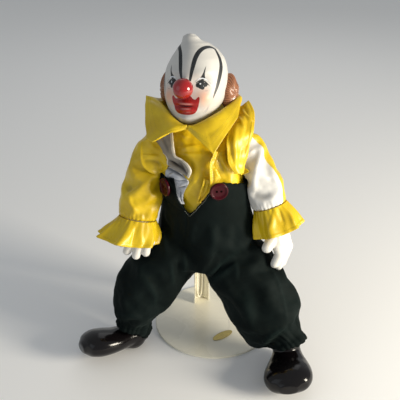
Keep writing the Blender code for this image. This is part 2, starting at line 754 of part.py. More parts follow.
def make_hand(name, sleeve, plan):
    """A hand hanging from a sleeve: a palm, four bent fingers and a thumb under one skin."""
    middle, _, _, _, _, ahead = limb_frame(sleeve, 1.0)
    wrist, palm, across = (Vector(plan[key]) for key in ("wrist", "palm", "across"))
    across.normalize()
    parts = [rod("wrist", middle - ahead * WRIST_RADIUS, wrist, WRIST_RADIUS, PORCELAIN, 14)]
    for way in (-1, 0, 1):
        high, low = (spread * way * across for spread in PALM_SPREAD)
        parts.append(rod("palm", wrist + high, palm + low, PALM_RADIUS[0], PORCELAIN, 12, PALM_RADIUS[1]))
    for i, tip in enumerate(plan["tips"]):
        knuckle = palm + across * (i - 1.5) * FINGER_APART
        tip = Vector(tip)
        joint = knuckle.lerp(tip, 0.5) + Vector(plan["knuckle"])
        parts.append(rod("finger", knuckle, joint, FINGER_RADIUS[0], PORCELAIN, 10, FINGER_RADIUS[1]))
        parts.append(rod("finger", joint, tip, FINGER_RADIUS[1], PORCELAIN, 10, FINGER_RADIUS[2]))
    base, tip = (Vector(point) for point in plan["thumb"])
    root_radius, joint_radius, tip_radius = plan["thumb_radius"]
    parts.append(rod("thumb", palm.lerp(wrist, 0.4), base, root_radius, PORCELAIN, 10, joint_radius))
    parts.append(rod("thumb", base, tip, joint_radius, PORCELAIN, 10, tip_radius))
    made = melted(name, parts, 1.1, 310, PORCELAIN, 3)
    return cut_above(made, middle + ahead * FIT_GAP, ahead)


def cut_above(made, point, way):
    """Cuts off what lies behind a plane, leaving a flat face there."""
    work = bmesh.new()
    work.from_mesh(made.data)
    cut = bmesh.ops.bisect_plane(
        work,
        geom=work.verts[:] + work.edges[:] + work.faces[:],
        plane_co=point * MM,
        plane_no=way,
        clear_inner=True,
    )
    edges = [e for e in cut["geom_cut"] if isinstance(e, bmesh.types.BMEdge)]
    bmesh.ops.holes_fill(work, edges=edges)
    bmesh.ops.triangulate(work, faces=[f for f in work.faces if len(f.verts) > 4])
    bmesh.ops.recalc_face_normals(work, faces=work.faces)
    work.to_mesh(made.data)
    work.free()
    return made


def make_shoe(name, stance):
    """A round-toed shoe with its ankle, on its sole, then turned, rolled and set on the ground."""
    rows, sides = 15, 20
    rings = []
    for r in range(rows):
        share = r / (rows - 1)
        along = SHOE[-1][0] * (0.5 - 0.5 * math.cos(math.pi * share))
        _, wide, sole, top = row_at(SHOE, along)
        middle, half = (sole + top) / 2, (top - sole) / 2
        ring = []
        for i in range(sides):
            a = math.tau * i / sides
            up = math.sin(a)
            flatter = 0.72 if up < 0 else 1.0
            lift = math.copysign(abs(up) ** flatter, up)
            ring.append(Vector((along - ANKLE_AT, wide * math.cos(a), middle + half * lift)))
        rings.append(ring)
    last = solid_of_rings("last", rings, BLACK_GLAZE)
    ahead, up = ANKLE_ROOT
    low, high = ANKLE_RADIUS
    ankle = rod("ankle", (ahead, 0, up), (-ANKLE_LEAN, 0, ANKLE_TOP), low, BLACK_GLAZE, 16, high)
    shoe = melted(name, [last, ankle], 1.2, 430, BLACK_GLAZE, 8)
    roll = Matrix.Rotation(math.radians(stance["roll"]), 4, "X")
    turn = Matrix.Rotation(math.radians(stance["toe"]), 4, "Z")
    shoe.data.transform(turn @ roll)
    lowest = min(v.co.z for v in shoe.data.vertices)
    shoe.data.transform(Matrix.Translation((stance["heel"][0] * MM, stance["heel"][1] * MM, -lowest)))
    flat_spot(shoe, SOLE_FLAT)
    return shoe


def flat_spot(shoe, depth):
    """Levels the lowest part of a sole, where it rests."""
    for v in shoe.data.vertices:
        if v.co.z < depth * MM:
            v.co.z = depth * MM
    shoe.data.transform(Matrix.Translation((0, 0, -depth * MM)))


# Cloth

def sleeve_fold(angle, share):
    slant = angle * 2 + share * 9.0
    drawn = 0.045 * math.sin(slant) * math.sin(math.pi * share)
    return drawn + 0.02 * math.sin(SLEEVE_FOLDS * angle + 5 * share)


def leg_fold(angle, share):
    gather = max(0.0, share - 0.62) / 0.38
    return 0.03 * math.sin(3 * angle + 6 * share) * (1 - gather) + 0.07 * gather * math.cos(9 * angle)


def make_blouse():
    rows, sides = 7, 20
    rings = []
    for r in range(rows):
        z = BLOUSE_FOOT + (TRUNK[-1][0] - BLOUSE_FOOT) * r / (rows - 1)
        rings.append([trunk_point(360.0 * i / sides, z) for i in range(sides)])
    return solid_of_rings("blouse", rings, YELLOW_SATIN)


def bib_top(degrees):
    """The height of the bib's edge at an angle from the middle of the front."""
    place = (degrees + 180.0) % 360.0 - 180.0
    away = abs(place)
    if away < BIB_POINT_AT:
        point = math.copysign(BIB_POINT_AT, place - BIB_V_AT)
        return BIB_V_FOOT + (BIB_POINT - BIB_V_FOOT) * (place - BIB_V_AT) / (point - BIB_V_AT)
    low, high, start, end = BIB_POINT, BIB_SIDE, BIB_POINT_AT, 90.0
    if away > 90.0:
        low, high, start, end = BIB_SIDE, BIB_BACK, 90.0, 180.0
    share = (away - start) / (end - start)
    return low + (high - low) * (3 * share ** 2 - 2 * share ** 3)


def trunk_rings(heights, out, sides):
    return [[trunk_point(360.0 * i / sides, z, out) for i in range(sides)] for z in heights]


def make_overalls(blouse):
    """The seat, bib and legs in one skin, hollowed for the blouse and cut to the bib's edge."""
    foot, crown = TRUNK[0][0], BIB_POINT + TRIM_OVER
    heights = [foot + (crown - foot) * i / 12 for i in range(13)]
    pieces = [solid_of_rings("seat", trunk_rings(heights, VELVET + FIT_GAP, 40), GREEN_VELVET)]
    for stations in (RIGHT_LEG, LEFT_LEG):
        pieces.append(solid_of_rings("leg", limb_rings(stations, 21, 36, leg_fold), GREEN_VELVET))
    for sag in (RIGHT_LEG_SAG, LEFT_LEG_SAG):
        pieces.append(ball("sag", *sag, GREEN_VELVET))
    overalls = melted("overalls", pieces, 1.8, 960, GREEN_VELVET, 3)
    sides = 40
    rings = []
    for out, rise in ((-TRIM_OVER, 0.0), (TRIM_OVER * 2, 0.0), (TRIM_OVER * 2, crown)):
        rings.append([])
        for i in range(sides):
            degrees = 360.0 * i / sides + BIB_V_AT
            point = trunk_point(degrees, bib_top(degrees), out)
            rings[-1].append(point + Vector((0, 0, rise)))
    trim = solid_of_rings("trim", rings, GREEN_VELVET)
    combine(overalls, [trim], "DIFFERENCE")
    return clear_of(overalls, blouse)


def make_button(name, degrees):
    """A dished button with two holes, sewn on one of the bib's points."""
    z = BIB_POINT - BUTTON_DROP
    middle = trunk_point(degrees, z)
    side = (trunk_point(degrees + 4.0, z) - trunk_point(degrees - 4.0, z)).normalized()
    out = side.cross(Vector((0, 0, 1)))
    up = Vector((0, 0, 1))
    back = VELVET + FIT_GAP * 2 + BUTTON_SAG

    def disc(centre, depth, radius, sides):
        turns = [math.tau * i / sides for i in range(sides)]
        return [
            centre + out * (back + depth) + (side * math.cos(a) + up * math.sin(a)) * radius
            for a in turns
        ]

    profile = ((0.0, 0.80), (0.35, 1.0), (0.75, 1.0), (1.0, 0.86), (0.72, 0.62))
    rings = [disc(middle, BUTTON_THICK * height, BUTTON_RADIUS * radius, 12) for height, radius in profile]
    button = solid_of_rings(name, rings, BUTTON_RED)
    holes = []
    for way in (-1, 1):
        centre = middle + side * way * BUTTON_HOLES_APART / 2
        depths = (-BUTTON_THICK, BUTTON_THICK * 2)
        holes.append(solid_of_rings("hole", [disc(centre, d, BUTTON_HOLE, 6) for d in depths], BUTTON_RED))
    return combine(button, holes, "DIFFERENCE")


def make_sleeve(name, stations, finish):
    return solid_of_rings(name, limb_rings(stations, 8, 14, sleeve_fold), finish)


def make_cuff(name, stations, form):
    """A gathered frill that flares from a sleeve's end."""
    middle, side, front, wide, deep, ahead = limb_frame(stations, 1.0)
    rows, sides = 3, CUFF_WAVES * 4
    lean = Vector(form["lean"])
    grid = []
    for r in range(rows):
        share = r / (rows - 1)
        row = []
        for i in range(sides):
            angle = math.tau * i / sides
            wave = math.cos(CUFF_WAVES * angle + 0.9 * math.sin(angle * 2)) * form["wave"] * share
            out = form["flare"] * math.sin(share * math.pi / 2) + wave - CLOTH / 2 * (1 - share)
            reach = side * (wide + out) * math.cos(angle) + front * (deep + out) * math.sin(angle)
            drop = ahead * (FIT_GAP + CLOTH / 2 + (CUFF_LENGTH - 0.25 * wave) * share) + lean * share * share
            row.append(middle + reach + drop)
        grid.append(row)
    return solid_of_sheet(name, grid, CLOTH, YELLOW_SATIN, closed=True)


def collar_columns():
    """Where the collar's columns stand, from its left point's side round the back to its right."""
    columns = []
    for i in range(len(COLLAR) - 1):
        for k in range(2):
            columns.append([a + (b - a) * k / 2 for a, b in zip(COLLAR[i], COLLAR[i + 1])])
    half = [(-c[0], *c[1:]) for c in columns]
    return half + [COLLAR[-1]] + columns[::-1]


def make_collar():
    """A wide collar, open at the front, that stands up round the neck and falls out to two points."""
    neck_radius, neck_height = COLLAR_NECK
    rows = [[] for _ in range(5)]
    for degrees, roll_radius, roll_height, edge_radius, edge_height in collar_columns():
        section = (
            (neck_radius, neck_height),
            ((neck_radius + roll_radius) / 2 + 1.0, (neck_height + roll_height) / 2 - 2.0),
            (roll_radius, roll_height),
            ((roll_radius + edge_radius) / 2 + 0.8, (roll_height + edge_height) / 2 + 1.8),
            (edge_radius, edge_height),
        )
        for row, (radius, height) in zip(rows, section):
            x, y = turn_z(0.0, -radius, COLLAR_TURN + degrees)
            row.append(Vector((COLLAR_MIDDLE[0] + x, COLLAR_MIDDLE[1] + y, height)))
    return solid_of_sheet("collar", rows, CLOTH, YELLOW_SATIN)


def make_frill(name, edges, finish):
    """A strip of cloth between two edges, bulging off the blouse along its middle."""
    rows, columns = len(edges) + 3, 4
    grid = []
    for r in range(rows):
        row = smooth_row(edges, r / (rows - 1))
        inner, outer = Vector(row[:3]), Vector(row[3:])
        bulge = Vector((0.0, -1.0, 0.35)) * FRILL_BULGE
        grid.append([
            inner.lerp(outer, c / (columns - 1)) + bulge * math.sin(math.pi * c / (columns - 1))
            for c in range(columns)
        ])
    return solid_of_sheet(name, grid, CLOTH, finish)


def main():
    for old in list(bpy.data.objects):
        bpy.data.objects.remove(old)
    stand = make_stand()
    head = make_head()
    blouse = clear_of(make_blouse(), head)
    overalls = make_overalls(blouse)
    shoes = [make_shoe("right_shoe", RIGHT_SHOE), make_shoe("left_shoe", LEFT_SHOE)]
    hands = [
        make_hand("right_hand", RIGHT_SLEEVE, RIGHT_HAND),
        make_hand("left_hand", LEFT_SLEEVE, LEFT_HAND),
    ]
    clear_of(overalls, *shoes, *hands, *stand)
    buttons = [make_button("right_button", -BIB_POINT_AT), make_button("left_button", BIB_POINT_AT)]
    sleeves = [
        make_sleeve("right_sleeve", RIGHT_SLEEVE, YELLOW_SATIN),
        make_sleeve("left_sleeve", LEFT_SLEEVE, WHITE_SATIN),
    ]
    for sleeve in sleeves:
        clear_of(sleeve, overalls, blouse, *buttons)
    cuffs = [
        make_cuff("right_cuff", RIGHT_SLEEVE, RIGHT_CUFF),
        make_cuff("left_cuff", LEFT_SLEEVE, LEFT_CUFF),
    ]
    for cuff, hand in zip(cuffs, hands):
        clear_of(cuff, overalls, hand, *stand)
    collar = make_collar()
    clear_of(collar, blouse, head, *sleeves)
    worn = [blouse, overalls, *buttons, *sleeves, collar]
    for name, edges, finish in (
        ("right_front_frill", RIGHT_FRONT_FRILL, WHITE_SATIN),
        ("left_front_frill", LEFT_FRONT_FRILL, YELLOW_SATIN),
        ("right_shoulder_frill", RIGHT_SHOULDER_FRILL, YELLOW_SATIN),
        ("left_shoulder_frill", LEFT_SHOULDER_FRILL, YELLOW_SATIN),
    ):
        frill = make_frill(name, edges, finish)
        clear_of(frill, *worn)
        worn.append(frill)


if __name__ == "__main__":
    main()
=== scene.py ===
"""Dresses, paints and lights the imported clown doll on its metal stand.

Each piece, pair or group of like pieces has an operator of its own, in the sidebar's Clown Doll tab.
The colours, the cloth's sizes and the lights are properties. The frame's objects are in metres. Sizes here
are in millimetres unless a name or a comment says otherwise, and the doll's own right is on the viewer's left.
"""

import math

import bmesh
import bpy
import numpy as np
from mathutils import Matrix, Vector
from mathutils.bvhtree import BVHTree


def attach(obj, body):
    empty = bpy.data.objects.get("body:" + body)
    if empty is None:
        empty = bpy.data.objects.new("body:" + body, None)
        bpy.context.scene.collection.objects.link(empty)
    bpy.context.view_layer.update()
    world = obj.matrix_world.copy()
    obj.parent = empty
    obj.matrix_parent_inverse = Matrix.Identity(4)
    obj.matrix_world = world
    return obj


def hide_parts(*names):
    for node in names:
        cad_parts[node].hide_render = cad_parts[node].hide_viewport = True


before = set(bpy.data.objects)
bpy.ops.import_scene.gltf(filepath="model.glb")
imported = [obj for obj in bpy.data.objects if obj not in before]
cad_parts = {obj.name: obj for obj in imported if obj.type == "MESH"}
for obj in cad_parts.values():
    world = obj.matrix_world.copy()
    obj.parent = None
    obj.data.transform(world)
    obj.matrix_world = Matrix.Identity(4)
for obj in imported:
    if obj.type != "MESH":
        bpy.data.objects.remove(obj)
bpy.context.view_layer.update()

bl_info = {
    "name": "Clown doll on a stand",
    "version": (1, 0, 0),
    "blender": (4, 5, 0),
    "location": "View3D > Sidebar > Clown Doll",
    "description": "Satin, velvet, porcelain and enamel for a clown doll on a metal stand",
    "category": "Object",
}

MM = 0.001

# The photograph's camera, in metres, and its frame in pixels
CAMERA_PLACE = Vector((-0.015, -0.612, 0.487))
CAMERA_DIP = math.radians(28.8)
PHOTO_SIDE = 400
PHOTO_FOCUS = 700.0
SENSOR_WIDE = 36.0

# The studio, in metres. Each lamp: its name, the power it takes, its colour, its place and its size
FLOOR_HALF = 3.0
LAMPS = (
    ("key", "key", (1.0, 0.92, 0.77), (0.95, -0.45, 0.36), 0.36),
    ("fill", "fill", (0.82, 0.90, 1.0), (-0.9, -0.6, 0.5), 0.8),
    ("back", "fill", (1.0, 1.0, 1.0), (0.1, 0.9, 0.8), 0.8),
)
LAMPS_AIM = Vector((-0.02, -0.02, 0.16))
ROOM_COLOUR = (0.93, 0.97, 1.0, 1.0)

# The trunk: height, middle x and y, half width, half depth
BODY_TURN = -20.0
TRUNK = [
    (84.0, -20.0, -18.0, 9.0, 13.0),
    (92.0, -16.0, -17.0, 27.0, 26.0),
    (102.0, -11.0, -16.0, 43.0, 34.0),
    (116.0, -8.0, -15.0, 48.5, 36.5),
    (132.0, -8.0, -14.5, 47.0, 35.0),
    (150.0, -9.0, -14.0, 42.5, 32.5),
    (172.0, -11.0, -14.0, 40.5, 33.0),
    (194.0, -14.0, -14.0, 41.0, 33.5),
    (210.0, -17.0, -12.0, 43.0, 31.0),
    (222.0, -19.0, -9.5, 42.0, 26.0),
    (232.0, -20.0, -7.0, 33.0, 20.0),
    (240.0, -20.0, -5.5, 19.0, 16.0),
]
VELVET = 2.6
BIB_V_FOOT = 161.0
BIB_V_AT = -5.0
BIB_POINT = 197.0
BIB_POINT_AT = 36.0
BIB_SIDE = 188.0
BIB_BACK = 194.0

# Legs and sleeves: x, y, z, half width, half depth down each limb
RIGHT_LEG = [
    (-31.0, -18.0, 113.0, 28.0, 30.0),
    (-49.0, -24.0, 95.0, 29.5, 32.0),
    (-65.0, -32.0, 76.0, 30.5, 31.0),
    (-75.5, -39.0, 58.0, 28.5, 27.0),
    (-82.0, -44.0, 43.0, 21.5, 20.0),
    (-85.0, -46.0, 34.0, 14.5, 14.0),
    (-86.5, -47.0, 28.0, 19.0, 17.5),
]
LEFT_LEG = [
    (9.0, -18.0, 113.0, 30.0, 30.0),
    (22.0, -29.0, 95.0, 33.5, 33.0),
    (36.0, -42.0, 76.0, 35.5, 34.0),
    (48.0, -54.0, 59.0, 36.0, 32.0),
    (60.0, -63.0, 45.0, 32.5, 26.0),
    (70.5, -71.0, 35.5, 17.5, 16.0),
    (73.5, -73.5, 29.0, 20.5, 19.0),
]
RIGHT_SLEEVE = [
    (-49.0, -7.0, 220.0, 13.0, 12.0),
    (-58.0, -9.0, 212.0, 16.5, 15.5),
    (-66.0, -15.0, 191.0, 18.5, 17.5),
    (-71.0, -22.0, 169.0, 20.5, 19.0),
    (-75.0, -29.0, 147.0, 18.5, 17.5),
]
LEFT_SLEEVE = [
    (12.0, -6.0, 223.0, 13.0, 12.0),
    (24.0, -8.0, 215.0, 17.0, 16.0),
    (36.0, -14.0, 197.0, 19.0, 18.0),
    (45.0, -20.0, 178.0, 19.5, 18.5),
    (52.0, -26.0, 159.0, 17.0, 17.0),
]

# How cloth settles: the simulation runs at ten times the size, and each point is held by one of a few weights
CLOTH_SCALE = 10.0
SETTLING_FRAMES = 16
SETTLING = {
    "quality": 5,
    "mass": 0.2,
    "tension_stiffness": 20.0,
    "compression_stiffness": 20.0,
    "shear_stiffness": 8.0,
    "pin_stiffness": 1.0,
}
STUFFING_HOLD = 0.3
HOLD_STEPS = 8
BACK_KEEPS = 0.45
SETTLED_ROUNDS = 6
# CREASE_DEEP is the fold depth at which the painted shade of a crease is full
CREASE_DEEP = 1.5
# RIDGE_HIGH is the fold height at which the painted highlight of a ridge is full
RIDGE_HIGH = 1.6

# Skins: the size of the remesh's cells and the rounds of smoothing
BLOUSE_SKIN = (2.6, 5)
OVERALLS_SKIN = (2.3, 4)
SLEEVE_SKIN = (1.75, 6)
HAND_SKIN = (0.55, 9)
SHOE_SKIN = (0.8, 17)
WIRE_SKIN = (0.55, 2)

# Looseness: how much larger the cloth is cut, how stiff it is to bend, and the share of its folds that stays
BLOUSE_LOOSE = (0.16, 500.0, 0.45)
OVERALLS_LOOSE = (0.16, 800.0, 0.45)
SLEEVE_LOOSE = (0.21, 550.0, 0.42)

# Slanting waves over the cloth: a direction in radians per millimetre, a phase and a height
FAINT_CREASES = [((0.9, 0.3, 0.7), 0.0, 0.12), ((-0.5, 0.8, 0.4), 1.1, 0.12), ((0.2, -0.4, 0.5), 2.0, 0.15)]
BLOUSE_WAVES = [
    ((0.05, 0.02, 0.30), 0.4, 0.35), ((0.22, 0.10, 0.08), 1.7, 0.30), ((-0.12, 0.25, 0.16), 2.9, 0.28),
]
VELVET_WAVES = [
    ((0.07, 0.05, 0.10), 0.3, 0.45), ((-0.10, 0.08, 0.06), 1.9, 0.40), ((0.16, 0.12, -0.03), 4.0, 0.25),
]
COLLAR_WAVES = [((0.09, 0.05, 0.02), 0.5, 0.45), ((-0.06, 0.12, 0.04), 2.2, 0.40), ((0.2, 0.1, 0.1), 1.2, 0.2)]

# Cuffs: length, pleats, grid, and for each how far it flares, waves and leans
CUFF_LENGTH = 23.0
CUFF_WAVES = 7
CUFF_GRID = (34, CUFF_WAVES * 36)
RIGHT_CUFF = {"flare": 8.0, "wave": 3.5, "lean": (-6.0, -2.5, 3.5)}
LEFT_CUFF = {"flare": 5.5, "wave": 2.5, "lean": (1.0, -1.5, -1.0)}

# Hands: wrist, palm, the way across it, fingertips, how far the knuckles stand out, and the thumb
FINGER_APART = 6.6
FINGER_RADIUS = (4.8, 4.6, 4.2)
PALM_RADIUS = (7.5, 6.5)
PALM_SPREAD = (3.0, 7.5)
WRIST_RADIUS = 9.0
RIGHT_HAND = {
    "wrist": (-75.0, -30.0, 143.0),
    "palm": (-75.0, -36.0, 132.0),
    "across": (-1.0, 0.12, -0.12),
    "tips": [(-66.9, -48.0, 119.5), (-76.4, -48.5, 116.5), (-85.4, -44.5, 119.0), (-91.0, -38.0, 124.0)],
    "knuckle": (0.0, -3.5, 0.0),
    "thumb": [(-68.0, -34.0, 135.0), (-62.5, -42.0, 127.5)],
    "thumb_radius": (6.0, 5.4, 4.4),
}
LEFT_HAND = {
    "wrist": (56.0, -30.0, 150.0),
    "palm": (63.5, -37.0, 126.0),
    "across": (0.48, 0.83, -0.05),
    "tips": [(57.0, -49.0, 107.0), (61.5, -45.5, 102.5), (65.5, -39.5, 102.5), (68.5, -33.5, 106.0)],
    "knuckle": (3.5, 0.0, 0.5),
    "thumb": [(55.0, -42.0, 132.5), (48.5, -51.0, 126.5)],
    "thumb_radius": (7.2, 6.4, 5.0),
}

# Collar: degrees from the front, roll radius and height, edge radius and height
COLLAR_MIDDLE = (-20.0, -6.0)
COLLAR_TURN = -10.2
COLLAR_NECK = (17.5, 240.5)
COLLAR_ROWS = 56
COLLAR_STEPS = 22
COLLAR = [
    (1.2, 35.5, 247.0, 38.0, 243.5),
    (27.0, 35.5, 251.0, 58.5, 231.5),
    (58.0, 35.5, 255.5, 45.5, 246.0),
    (95.0, 37.0, 259.0, 45.0, 257.0),
    (135.0, 37.0, 258.0, 46.5, 250.5),
    (180.0, 37.0, 257.0, 48.0, 246.0),
]

# Where the collar falls in the photograph: degrees from the front, then the pixels of its roll and of its edge
COLLAR_RIGHT_FIT = [
    (1.2, 187.0, 126.5, 187.0, 128.5),
    (14.0, 182.0, 124.5, 170.0, 132.5),
    (27.0, 175.5, 121.0, 152.0, 142.0),
    (36.0, 171.5, 117.0, 146.6, 138.0),
    (58.0, 166.0, 109.0, 145.3, 122.0),
    (80.0, 162.0, 102.5, 145.6, 105.0),
    (93.0, 156.5, 99.0, 146.0, 95.5),
    (108.0, 160.0, 101.0, 153.5, 98.8),
    (125.0, 164.0, 102.0, 161.0, 101.5),
]
COLLAR_LEFT_FIT = [
    (1.2, 188.0, 126.5, 188.5, 129.0),
    (14.0, 194.5, 126.0, 200.5, 141.0),
    (27.0, 202.0, 122.5, 213.5, 154.5),
    (38.0, 209.5, 118.0, 223.0, 139.5),
    (58.0, 221.5, 110.5, 237.8, 117.8),
    (80.0, 233.0, 101.0, 240.3, 105.0),
    (95.0, 237.0, 97.0, 241.0, 98.0),
    (115.0, 236.0, 95.5, 237.5, 96.5),
]
COLLAR_FIT_END = 155.0

# Frills: a point of the inner edge and one of the outer edge for each row, from the top
FRILL_BULGE = 3.0
FRILL_GRID = (150, 44)
LAID_GRID = (84, 44)
LAID_OVER = ("blouse", "overalls", "right_sleeve", "left_sleeve")
LEFT_SHOULDER_FRILL = [
    (22.0, 3.0, 248.0, 30.0, 4.0, 253.5),
    (18.5, -11.0, 244.0, 34.5, -8.0, 247.0),
    (9.5, -32.0, 233.5, 34.0, -22.0, 236.5),
    (9.0, -41.0, 224.0, 29.5, -31.0, 223.5),
    (10.5, -46.0, 213.5, 25.5, -37.0, 210.0),
    (16.5, -46.5, 203.5, 25.0, -41.0, 201.0),
]

# The head
HEAD_MIDDLE = (-18.5, -3.0, 278.0)
HEAD_TURN = -18.0
HEAD_LIFT = 13.0
HEAD_LEAN = -3.0
NECK_RADIUS = 12.5
NECK_ROOT = (0.0, 3.0, -18.0)
NOSE_RADIUS = 9.0
NOSE_HEIGHT = -5.0
NOSE_PROUD = 0.62
HEAD_GRID = (250, 280)
FACE_CROWD = 0.42
CROWN_CROWD = 0.075
STROKE_ROUNDS = 10
OUTSIDE = -9.0
# Height above the eyes, half width, front and back of each ring of the skull, and how far it stands aside
SKULL = [
    (-38.5, 5.0, -21.0, -9.0, 0.0),
    (-36.5, 11.0, -25.0, -2.0, 0.0),
    (-32.0, 17.5, -27.5, 6.0, 0.0),
    (-25.0, 23.5, -28.5, 16.0, 0.0),
    (-15.0, 27.5, -29.0, 24.0, 0.0),
    (-3.0, 29.0, -28.5, 28.5, 0.0),
    (9.0, 27.5, -28.0, 28.5, 0.5),
    (19.0, 23.5, -25.5, 25.5, 1.5),
    (27.0, 17.5, -21.5, 20.0, 1.0),
    (32.0, 12.0, -17.5, 12.0, -0.5),
    (34.5, 8.5, -15.0, 2.5, -2.5),
    (37.5, 6.5, -13.0, -0.5, -3.5),
    (39.5, 3.5, -10.5, -3.5, -3.5),
]
# Raised and sunk places of the face: x, z, how far out, half width, half height. Those aside come in pairs.
FACE = [
    (13.0, -1.0, -2.4, 6.5, 5.0),
    (13.0, -2.0, 1.9, 4.6, 3.2),
    (12.5, 8.0, 1.1, 8.0, 3.5),
    (16.5, -14.5, 2.4, 6.5, 6.5),
    (0.0, -2.0, 2.0, 4.0, 7.0),
    (0.0, -18.2, 1.9, 8.5, 1.9),
    (0.0, -24.6, 2.3, 7.5, 2.2),
    (0.0, -21.4, -1.3, 8.5, 1.1),
    (0.0, -29.0, -1.0, 8.0, 1.8),
    (0.0, -33.0, 1.8, 7.0, 3.6),
]
TUFT_MIDDLE = (28.8, 9.5, -11.5)
TUFT_SIZE = (8.2, 12.0, 15.5)
TUFT_GRID = (90, 140)

# Painted marks of the face, on the doll's left and mirrored: x and z in the head's frame, and half width
BROW_ARCH = [
    (3.9, 1.5, 1.1), (4.9, 8.0, 1.5), (6.0, 15.0, 1.9), (7.2, 21.5, 2.0), (9.4, 26.6, 1.9),
    (13.2, 29.2, 1.7), (17.2, 27.9, 1.7), (21.1, 23.6, 1.9), (24.4, 18.2, 2.2), (25.9, 12.5, 2.4),
    (26.0, 6.5, 2.3), (25.4, 0.5, 2.0), (24.4, -5.5, 1.5), (23.1, -10.5, 0.9), (21.5, -16.2, 0.0),
]
FLAME = [(14.3, 3.9, 2.1), (14.6, 5.2, 1.5), (15.1, 7.8, 0.85), (15.6, 10.5, 0.5), (16.3, 14.6, 0.0)]
LASHES = [
    [
        (9.0, -0.6, 0.35), (11.0, 1.0, 0.55), (13.6, 1.6, 0.6), (16.4, 0.2, 0.5), (18.4, -2.2, 0.4),
        (20.4, -4.2, 0.0),
    ],
    [(15.0, -7.2, 0.0), (17.6, -7.6, 0.16), (20.4, -6.8, 0.0)],
]
EYE_SPOTS = [(13.2, -2.4, 3.5), (10.6, -2.6, 2.1), (16.4, -2.2, 1.9), (14.2, -4.6, 1.9)]
EYE_ASIDE = 13.7
# Painted highlights: glints in the eyes as x, z and radius, and a band along each upper lid
EYE_HIGHLIGHTS = [(12.4, -1.4, 0.75), (15.0, -3.4, 0.35)]
LID_HIGHLIGHT = [(9.2, 1.2, 0.15), (11.2, 2.9, 0.42), (13.8, 3.4, 0.50), (16.6, 2.3, 0.42), (19.0, 0.0, 0.1)]
# Painted shade along each upper lid
EYELID = [(8.4, 0.6, 0.3), (10.8, 2.6, 0.45), (13.8, 3.2, 0.5), (17.2, 1.8, 0.45), (20.2, -1.4, 0.3)]
MOUTH_SHAPE = [
    (0.0, -10.5), (3.4, -11.0), (5.2, -12.6), (7.2, -14.6), (9.2, -14.8), (11.4, -12.5), (12.7, -13.5),
    (12.3, -17.6), (11.1, -21.8), (9.7, -25.6), (7.2, -27.9), (3.6, -28.9), (0.0, -29.1),
]
MOUTH_LINE = [
    (-8.4, -20.6, 0.0), (-4.0, -21.4, 0.55), (0.0, -21.6, 0.65), (4.0, -21.4, 0.55), (8.4, -20.6, 0.0),
]
# Painted highlights on the lips: strength, x, half width, how square its ends are, z and half height
LIP_HIGHLIGHTS = [(1.0, 0.5, 5.5, 4, -19.3, 0.75), (0.8, 0.5, 4.0, 4, -23.4, 0.55), (0.35, 3.0, 2.6, 2, -26.4, 0.7)]
CHEEK = (16.8, -13.4, 7.6)
SMILE_CREASE = [(19.0, -19.6, 0.0), (18.0, -22.8, 1.0), (15.8, -26.0, 1.0), (12.8, -28.8, 0.0)]

# Shoes: along the shoe from the heel's back: half width, sole height, top height
SHOE = [
    (0.0, 4.0, 4.0, 12.0),
    (4.0, 10.5, 1.0, 18.0),
    (13.0, 13.5, 0.0, 21.0),
    (25.0, 16.5, 0.5, 22.0),
    (36.0, 20.5, 0.0, 23.0),
    (47.0, 23.0, 0.0, 26.0),
    (58.0, 23.0, 1.0, 27.5),
    (67.0, 18.5, 4.0, 25.0),
    (73.0, 8.5, 9.0, 19.5),
]
ANKLE_AT = 15.0
ANKLE_ROOT = (2.0, 9.0)
ANKLE_RADIUS = (14.3, 12.8)
ANKLE_LEAN = 1.5
ANKLE_TOP = 34.0
SOLE_FLAT = 0.5
RIGHT_SHOE = {"heel": (-81.5, -43.5), "toe": 210.0, "roll": 22.0}
LEFT_SHOE = {"heel": (74.0, -70.0), "toe": 266.0, "roll": 10.0}

# The stand
BASE_RADIUS = 63.5
BASE_THICK = 2.0
BASE_EDGE_ROUND = 0.7
BASE_SIDES = 180
BASE_RINGS = (0.9, 0.75, 0.6, 0.45, 0.3, 0.15)
POST_EDGE = 0.32
LABEL_LONG = 25.0
LABEL_WIDE = 9.5
LABEL_THICK = 0.3
LABEL_GAP = 0.4
LABEL_PLACE = (9.0, -29.0)
LABEL_TURN = 36.0
LABEL_SIDES = 96
LABEL_PROFILE = [(1.0, 0.0), (1.0, 0.7), (0.97, 1.0), (0.93, 0.85), (0.90, 0.6), (0.6, 0.62), (0.3, 0.64)]
LABEL_FIELD = 0.62
LABEL_STROKES = ((-2.0, 0.52), (0.0, 0.66), (2.0, 0.48))

# Buttons: size, the rim's profile as a share of the thickness and of the radius, and the holes
BUTTON_THICK = 3.0
BUTTON_RADIUS = 8.6
BUTTON_SIDES = 72
BUTTON_PROFILE = [
    (0.0, 0.80), (0.12, 0.93), (0.35, 1.0), (0.65, 1.0), (0.88, 0.97), (1.0, 0.90), (0.97, 0.83),
    (0.82, 0.75), (0.70, 0.66), (0.67, 0.5), (0.67, 0.34), (0.67, 0.17),
]
BUTTON_HOLE = 1.1
BUTTON_HOLE_ASIDE = 2.1
BUTTON_HOLE_SIDES = 24

